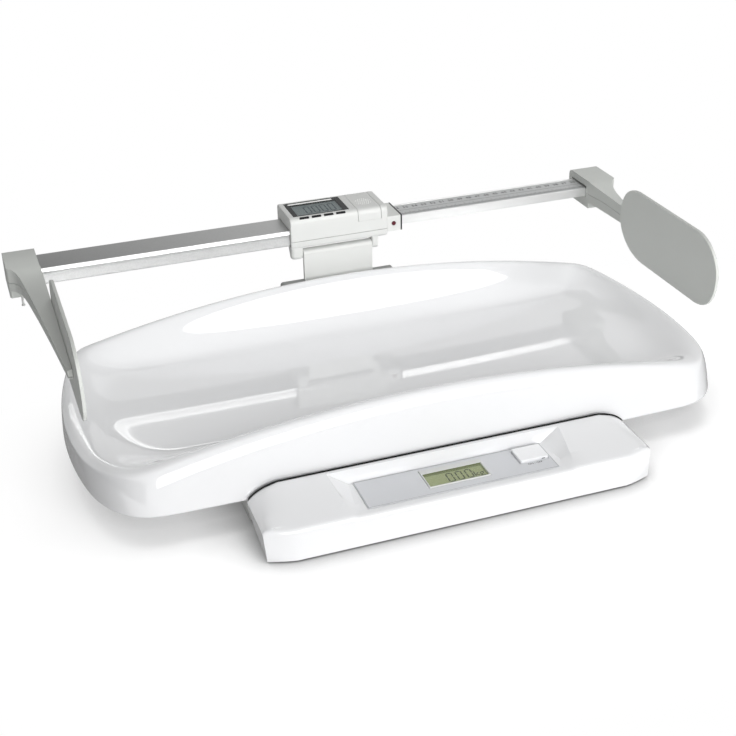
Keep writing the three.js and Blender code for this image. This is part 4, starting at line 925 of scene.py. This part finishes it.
def add_bracket(end, side, body, rod):
    """The end's name starts its nodes. Side is the way out from the tray along x."""
    box_low, box_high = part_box(end + "_bracket_upper")
    inner = box_low.x if side > 0 else box_high.x
    tip = box_low.y
    rod_low, rod_high = rod_box(rod)
    seam, clear, lip, apart = ARM.seam, ARM.clear, ARM.lip, ARM.apart
    for upper in (True, False):
        reach = (rod_high.z - seam + 2 * clear if upper else seam - rod_low.z) + clear
        rod_place = rod_low.y - clear - tip, rod_high.y + clear - tip
        rows = [(at, (ARM.groove, 0.0)) for at in ARM.cuts]
        for (start, stop), notch, more in ((ARM.tongue, ARM.tongue_notch, (1 / 3, 2 / 3)),
                                           (rod_place, (ARM.rod_notch, reach), ())):
            rows = [(at, kept) for at, kept in rows if not start - apart < at < stop + apart]
            shut = (notch[0], 0.0)
            rows += [(start - lip, shut), (start, notch), (stop, notch), (stop + lip, shut)]
            rows += [(mix(start, stop, share), notch) for share in more]
        name = end + ("_bracket_upper" if upper else "_bracket_lower")
        far_z = box_high.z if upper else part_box(name)[0].z
        rings = []
        for at, notch in sorted(rows):
            ring = shell_ring(at, side, inner, upper, far_z, notch)
            rings.append([Vector((x, tip + at, z)) for x, z in ring])
        bm = skin_over(rings)
        bmesh.ops.remove_doubles(bm, verts=bm.verts, dist=0.000005)
        piece(name + "_shell", bm, body, "warm_grey", [name], smooth=40.0, soft=0.0007, turn=33.0)


PEG = Table(side=0.0102, y=0.1335, drop=0.0074, reach=0.0068, radius=0.0011, foot=(0.0017, 0.0014))


def add_peg():
    """The end of the lock pin, under the left bracket's arm, with a wider foot."""
    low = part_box("head_bracket_lower")[0]
    place = Vector((low.x + PEG.side, PEG.y, low.z - PEG.drop))
    bm = bmesh.new()
    for radius, height in ((PEG.radius, PEG.drop + PEG.reach), PEG.foot):
        middle = Matrix.Translation(place + Vector((0, 0, height / 2)))
        bmesh.ops.create_cone(
            bm, cap_ends=True, segments=24, radius1=radius, radius2=radius, depth=height, matrix=middle)
    piece("lock_peg", bm, ROD, "white_satin", soft=0.0004)


PADDLE = Table(
    thick=0.003, overlap=0.0002,
    top=(0.0372, 0.0347), bottom=(0.0338, 0.0466),  # the flat runs' ends, from the front and the back
    pulls=(0.55, 0.5, 0.75, 0.6),
    tongue=((0.0857, 0.1281), (0.1586, 0.1299)),  # y from the front, and z
)


def add_paddle(end, side, body):
    """A plate with two rounded ends, and the tongue that its bracket holds."""
    low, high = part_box(end + "_paddle")
    middle = (low.z + high.z) / 2
    leave, arrive, depart, land = PADDLE.pulls

    def lobe(*points, steps=12):
        """Points of a curve from the first to the last point, without its last one."""
        a, b, c, d = (Vector(p) for p in points)
        pairs = zip(bend(a, b, c, steps), bend(b, c, d, steps))
        return [p.lerp(q, i / steps) for i, (p, q) in enumerate(pairs)]

    outline = []
    for tip, start, z0, stop, z1 in (
            (high.y, high.y - PADDLE.bottom[1], low.z, high.y - PADDLE.top[1], high.z),
            (low.y, low.y + PADDLE.top[0], high.z, low.y + PADDLE.bottom[0], low.z)):
        pulls = (mix(start, tip, leave), z0), (tip, mix(z0, middle, arrive))
        outline += lobe((start, z0), *pulls, (tip, middle))
        pulls = (tip, mix(middle, z1, depart)), (mix(stop, tip, land), z1)
        outline += lobe((tip, middle), *pulls, (stop, z1))
    thick, overlap = PADDLE.thick, PADDLE.overlap
    # x of the plate is drawn along z of the slab, y along x and z along y
    near = low.x if side > 0 else high.x - thick
    bm = slab(outline, thick, Matrix(((0, 0, 1, near), (1, 0, 0, 0), (0, 1, 0, 0), (0, 0, 0, 1))))
    x0, x1 = (low.x + thick - overlap, high.x) if side > 0 else (low.x, high.x - thick + overlap)
    (y0, z0), (y1, z1) = PADDLE.tongue
    join(bm, block((x0, low.y + y0, z0), (x1, low.y + y1, z1)))
    # the paddle takes a lighter copy of the brackets' grey: painted light
    piece(end + "_paddle_plate", bm, body, "paddle_lit_grey", [end + "_paddle"], soft=0.0006)


# Rods

TUBE = Table(
    round=0.0011, wall=0.0008,
    # the front: how far back and how far down from the top each corner lies
    front=[
        (0.0022, 0.0), (0.0016, 0.00015), (0.0013, 0.0005), (0.00005, 0.0033), (0.0, 0.0037),
        (0.0003, 0.0042), (0.0007, 0.0054), (0.0010, 0.0070), (0.0010, 0.0085), (0.0009, 0.0110),
        (0.0008, 0.0130), (0.0007, 0.0149)])


def tube_profile(low, high):
    """The outer rod's section: a lip that leans back over a hollowed front, and three round
    corners. The front's last row gives the place of the front foot's corner."""
    r = TUBE.round
    front = [(low.y + back, high.z - down) for back, down in TUBE.front]
    foot = front.pop()[0]
    return (arc(high.y - r, high.z - r, r, 0, 90, 4) + front
            + arc(foot + r, low.z + r, r, 180, 270, 4) + arc(high.y - r, low.z + r, r, 270, 360, 4))


def add_rods():
    low, high = rod_box("outer_rod")
    rings = [at_x(x, tube_profile(low, high)) for x in (low.x, high.x)]
    piece("outer_tube", skin_over(rings, caps=()), ROD, "rod_aluminium", ["outer_rod"],
          thick=TUBE.wall, **FINE)
    piece("inner_tube", deeper("inner_rod"), "foot_stop", "bright_aluminium", ["inner_rod"], soft=0.0005)
    piece("end_cap", deeper("rod_end_cap"), ROD, "white_satin", ["rod_end_cap"], soft=0.0004)
    piece("cap_gasket", deeper("rod_gasket"), ROD, "black_plastic", ["rod_gasket"])


SCALE = Table(
    line=(0.47, 0.0001),  # the fine line's place across the strip, and half its width
    first=356, start=0.0006,  # the first millimetre, and how far it is from the bracket
    pitch=0.001, front=0.0010, half_tick=0.00013,
    ticks=(0.0065, 0.0050, 0.0036),  # at 10, at 5 and at 1 mm
    numbers=0.0062)


def add_graduations():
    """Two rows on the strip: a number each centimetre at the back, a tick each millimetre at
    the front, and a fine line between them. The numbers grow to the left, because the rod
    comes out to the right."""
    low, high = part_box("scale_strip")
    share, half = SCALE.line
    middle, top, front = mix(low.y, high.y, share), high.z, low.y + SCALE.front
    printed = top + PRINT_DEPTH
    ticks = block((low.x, middle - half, top), (high.x, middle + half, printed))
    numbers = bmesh.new()
    bracket_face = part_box("foot_bracket_upper")[0].x
    half = SCALE.half_tick
    for i in range(int((bracket_face - low.x) / SCALE.pitch)):
        x = bracket_face - SCALE.start - i * SCALE.pitch
        mark = SCALE.first + i
        length = SCALE.ticks[0 if mark % 10 == 0 else 1 if mark % 5 == 0 else 2]
        join(ticks, block((x - half, front, top), (x + half, front + length, printed)))
        if mark % 10 == 0:
            place = Vector((x, mix(middle, high.y, 0.5), top))
            join(numbers, lettering(str(mark // 10), SCALE.numbers, place))
    piece("graduations", ticks, "foot_stop", "print_ink", smooth=20)
    piece("centimetre_numbers", numbers, "foot_stop", "print_ink", smooth=20)


# Display head

HEAD = Table(
    foot=0.1176, round=0.006, low_round=0.004, wall=0.0016, seam=0.00015, step=0.00002,
    ends=(0.0008, 0.0024),  # how round the left and the right end are
    clear=0.00005, pocket=0.0004,  # round the window and under it
    key_lean=58.0, key_wide=0.0024, key_gap=0.00015, key_round=0.0008, key_high=0.00155,
    key_foot=0.0012,  # under the rounded edge
    rod_gap=0.0005, door_gap=0.0004, door_back=0.0002, door_middle=0.47)
LUG = Table(
    radius=0.005, back=0.0105, front=0.0051, top=0.0022, gap=0.0003,
    left=(0.0034, 0.0022), right=(0.0006, 0.0006),  # how much their two ends are rounded
    right_end=0.0066)  # from the hinge's plate
GRIP = Table(pitch=0.0021, row=1.1, radius=0.00062, flat=0.6, reach=(0.0080, 0.0076))


def head_upper_row(x, inset, pocket):
    """The upper shell's outline, from the seam at the front over the top to the back."""
    low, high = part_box("head_upper_shell")
    window_low, window_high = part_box("head_window")
    door_low, door_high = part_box("head_battery_door")
    r, step, clear, low_round = HEAD.round, HEAD.step, HEAD.clear, HEAD.low_round
    lean = HEAD.key_lean
    half = degrees((HEAD.key_wide / 2 + HEAD.key_gap) / r)
    front, top = low.y + inset, high.z - inset
    row = [(front, low.z + HEAD.seam), (front, door_low.z - step)]
    for turn in (0, 15, 30, lean - half, lean, lean + half, 80, 90):
        t = radians(turn)
        row.append((low.y + r - (r - inset) * cos(t), high.z - r + (r - inset) * sin(t)))
    sunk = window_low.z - HEAD.pocket if pocket else top
    row += [(window_low.y - clear - step, top), (window_low.y - clear, sunk),
            (window_high.y + clear, sunk), (window_high.y + clear + step, top),
            (door_high.y + HEAD.door_back, top)]
    row += arc(high.y - low_round, high.z - low_round, low_round - inset, 90, 0, 4)
    return at_x(x, row + [(high.y - inset, low.z + HEAD.seam)])


def head_lower_row(x, inset):
    """The lower shell's outline, from the seam at the back under the rod to the front."""
    low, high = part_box("head_lower_shell")
    r = HEAD.low_round
    z = HEAD.foot + r
    row = [(high.y - inset, high.z)] + arc(high.y - r, z, r - inset, 0, -90, 4)
    return at_x(x, row + arc(low.y + r, z, r - inset, -90, -180, 4) + [(low.y + inset, high.z)])


def head_ends(low, high):
    """Stations (x, inset) of the rounded left and right ends, from the outside in."""
    turns = [radians(t) for t in (90, 60, 30, 0)]
    return [[(x + sign * radius * (1 - sin(t)), radius * (1 - cos(t))) for t in turns]
            for x, sign, radius in ((low.x, 1, HEAD.ends[0]), (high.x, -1, HEAD.ends[1]))]


def rod_notch(x, seam, edge):
    """The corners of the gap that an end wall leaves for the rod, from one side to the other."""
    low, high = rod_box("outer_rod")
    back, front = high.y + HEAD.rod_gap, low.y - HEAD.rod_gap
    return at_x(x, ((back, seam), (back, edge), (front, edge), (front, seam)))


def lug(x0, x1, chamfer, blunt):
    """A knuckle of the hinge: a rounded lug under the lower shell."""
    low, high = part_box("hinge_pin")
    y, z, top = (low.y + high.y) / 2, (low.z + high.z) / 2, HEAD.foot + LUG.top
    turns = [radians(15 * i) for i in range(7)]
    stations = [(x0 + chamfer * (1 - cos(t)), chamfer * (1 - sin(t))) for t in turns]
    stations += [(x1 - blunt, 0.0), (x1 - blunt * 0.3, blunt * 0.3), (x1, blunt)]
    rings = []
    for x, inset in stations:
        round_ = arc(y, z, LUG.radius - inset, 0, -180, 10)
        rings.append(at_x(x, [(y + LUG.back - inset, top)] + round_ + [(y - LUG.front + inset, top)]))
    return skin_over(rings)


def add_head():
    low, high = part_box("head_upper_shell")
    left_end, right_end = head_ends(low, high)
    step, clear, r = HEAD.step, HEAD.clear, HEAD.round
    gap, wide = HEAD.key_gap, HEAD.door_gap
    window_low, window_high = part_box("head_window")
    door_low, door_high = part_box("head_battery_door")
    rod_low, rod_high = rod_box("outer_rod")
    holes = [(a.x - gap, b.x + gap) for a, b in (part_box("head_button_%d" % i) for i in range(1, 5))]
    # where along x the rows lie, how far inside the outline, and whether in the window's pocket
    stations = [(x, inset, False) for x, inset in left_end]
    stations += [(window_low.x - clear - step, 0.0, False), (window_low.x - clear, 0.0, True)]
    stations += [(x, 0.0, True) for hole in holes for x in hole]
    stations += [(window_high.x + clear, 0.0, True), (window_high.x + clear + step, 0.0, False)]
    stations += [(door_low.x - wide, 0.0, False), (door_high.x + wide, 0.0, False)]
    stations += [(x, inset, False) for x, inset in reversed(right_end)]
    rows = [head_upper_row(*station) for station in stations]
    caps = [rod_notch(x, low.z + HEAD.seam, rod_high.z + HEAD.rod_gap) for x in (low.x, high.x)]
    bm = skin_over(rows, closed=False, caps=caps)
    half = (HEAD.key_wide / 2 + gap) / r
    cut = []
    for face in bm.faces:
        p = face.calc_center_median()
        lean = atan2(p.z - high.z + r, low.y + r - p.y)
        in_key = any(a < p.x < b for a, b in holes) and abs(lean - radians(HEAD.key_lean)) < half
        in_door = (door_low.x - wide < p.x < door_high.x + wide and p.z > door_low.z
                   and p.y < door_high.y + HEAD.door_back)
        if in_door or in_key and p.y < low.y + r:
            cut.append(face)
    bmesh.ops.delete(bm, geom=cut, context="FACES")
    shell = {"thick": HEAD.wall, **FINE}
    piece("head_upper_shell_skin", bm, ROD, "white_satin", ["head_upper_shell"], **shell)

    low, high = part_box("head_lower_shell")
    rows = [head_lower_row(x, inset) for x, inset in left_end + right_end[::-1]]
    caps = [rod_notch(x, high.z, rod_low.z - HEAD.rod_gap)[::-1] for x in (low.x, high.x)]
    bm = skin_over(rows, closed=False, caps=caps)
    piece("head_lower_shell_skin", bm, ROD, "white_satin", ["head_lower_shell"], **shell)
    plate_low, plate_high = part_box("hinge_plate")
    knuckles = lug(low.x + LUG.gap, plate_low.x - LUG.gap, *LUG.left)
    join(knuckles, lug(plate_high.x + LUG.gap, plate_high.x + LUG.right_end, *LUG.right))
    piece("head_knuckles", knuckles, ROD, "white_satin", smooth=40)


def add_head_door():
    """The battery door with the dots of its grip, in rows set off by half a pitch."""
    low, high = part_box("head_battery_door")
    piece("head_door", solid_of("head_battery_door"), "head_battery_door", "white_satin",
          ["head_battery_door"], soft=0.0002)
    grip = bmesh.new()
    middle = Vector(((low.x + high.x) / 2, mix(low.y, high.y, HEAD.door_middle), high.z))
    reach_x, reach_y = GRIP.reach
    for row in range(-4, 5):
        for column in range(-4, 5):
            x = (column + 0.5 * (row % 2)) * GRIP.pitch
            y = row * GRIP.pitch * GRIP.row
            if (x / reach_x) ** 2 + (y / reach_y) ** 2 < 1.0:
                place = Matrix.Translation(middle + Vector((x, y, 0)))
                dot = place @ Matrix.Diagonal((1, 1, GRIP.flat, 1))
                bmesh.ops.create_icosphere(grip, subdivisions=1, radius=GRIP.radius, matrix=dot)
    # the dots are lighter than the door around them: a painted highlight
    piece("door_grip", grip, "head_battery_door", "dot_white", smooth=180)


WINDOW = Table(
    margins=(0.0050, 0.0018, 0.0055, 0.0072),  # left, front, right and back
    glass=(0.0006, 0.0001),  # its two sides, under the window's top
    face=(-0.0002, 0.0001),  # its two sides, over the window's foot
    strip=((0.0035, -0.0056), (-0.0080, -0.0028)),  # from the back's left and right corner
    digits=(0.0050, 0.0170, 0.0083), first=0.0192)


def add_window():
    """A dark surround with the display in its opening. Its place and digits are the photograph's."""
    low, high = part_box("head_window")
    left, front, right, back = WINDOW.margins
    x0, y0, x1, y1 = low.x + left, low.y + front, high.x - right, high.y - back
    dark = surround((low.x, low.y, high.x, high.y), (x0, y0, x1, y1), low.z, high.z)
    piece("window_border", dark, ROD, "window_black", ["head_window"], soft=0.0001, steps=2)
    foot, top = (high.z - under for under in WINDOW.glass)
    piece("window_glass", block((x0, y0, foot), (x1, y1, top)), ROD, "lens_clear")
    foot, face = (low.z + over for over in WINDOW.face)
    piece("window_face", block((x0, y0, foot), (x1, y1, face)), ROD, "display_grey", ["head_display"])
    (left, front), (right, back) = WINDOW.strip
    strip = block((low.x + left, high.y + front, high.z),
                  (high.x + right, high.y + back, high.z + PRINT_DEPTH))
    piece("window_strip", strip, ROD, "dot_white")
    place = Vector((low.x + WINDOW.first, (y0 + y1) / 2, face))
    piece("window_digits", noughts(4, *WINDOW.digits, place), ROD, "window_ink", smooth=20)


def add_head_keys():
    """Four flat black keys square to the rounded front edge."""
    shell_low, shell_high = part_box("head_upper_shell")
    t, r = radians(HEAD.key_lean), HEAD.round
    out = Vector((0, -cos(t), sin(t)))
    along = Vector((0, sin(t), cos(t)))
    foot = Vector((0, shell_low.y + r, shell_high.z - r)) + out * (r - HEAD.key_foot)
    turn = Matrix(((1, 0, 0), along, out)).transposed().to_4x4()
    for i in range(1, 5):
        node = "head_button_%d" % i
        low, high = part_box(node)
        place = Matrix.Translation(foot + Vector(((low.x + high.x) / 2, 0, 0))) @ turn
        outline = plate_outline(high.x - low.x, HEAD.key_wide, HEAD.key_round)
        piece(node + "_key", slab(outline, HEAD.key_high, place), node, "black_plastic", [node], **FINE)


def add_stand():
    """The holder, the hinge's leaf and the base's own shells."""
    for name, node, look, soft in (
            ("holder", "rod_holder", "holder_grey", 0.0008),
            ("hinge_leaf", "hinge_plate", "white_satin", 0.0004),
            ("base_floor", "base_shell", "white_satin", 0.0005),
            ("base_lid", "base_cover", "white_satin", 0.001)):
        piece(name, solid_of(node), "base", look, [node], soft=soft)


add_camera()
add_world()
add_lights()
add_floor()
add_card()
add_flag()
add_table()
dress_nodes()
add_tray()
add_console()
add_gap_shadow()
add_display()
add_weigh_key()
add_bracket("head", -1, ROD, "outer_rod")
add_bracket("foot", 1, "foot_stop", "inner_rod")
add_peg()
add_paddle("head", -1, ROD)
add_paddle("foot", 1, "foot_stop")
add_rods()
add_graduations()
add_head()
add_head_door()
add_window()
add_head_keys()
add_stand()
scene.view_settings.view_transform = "Standard"
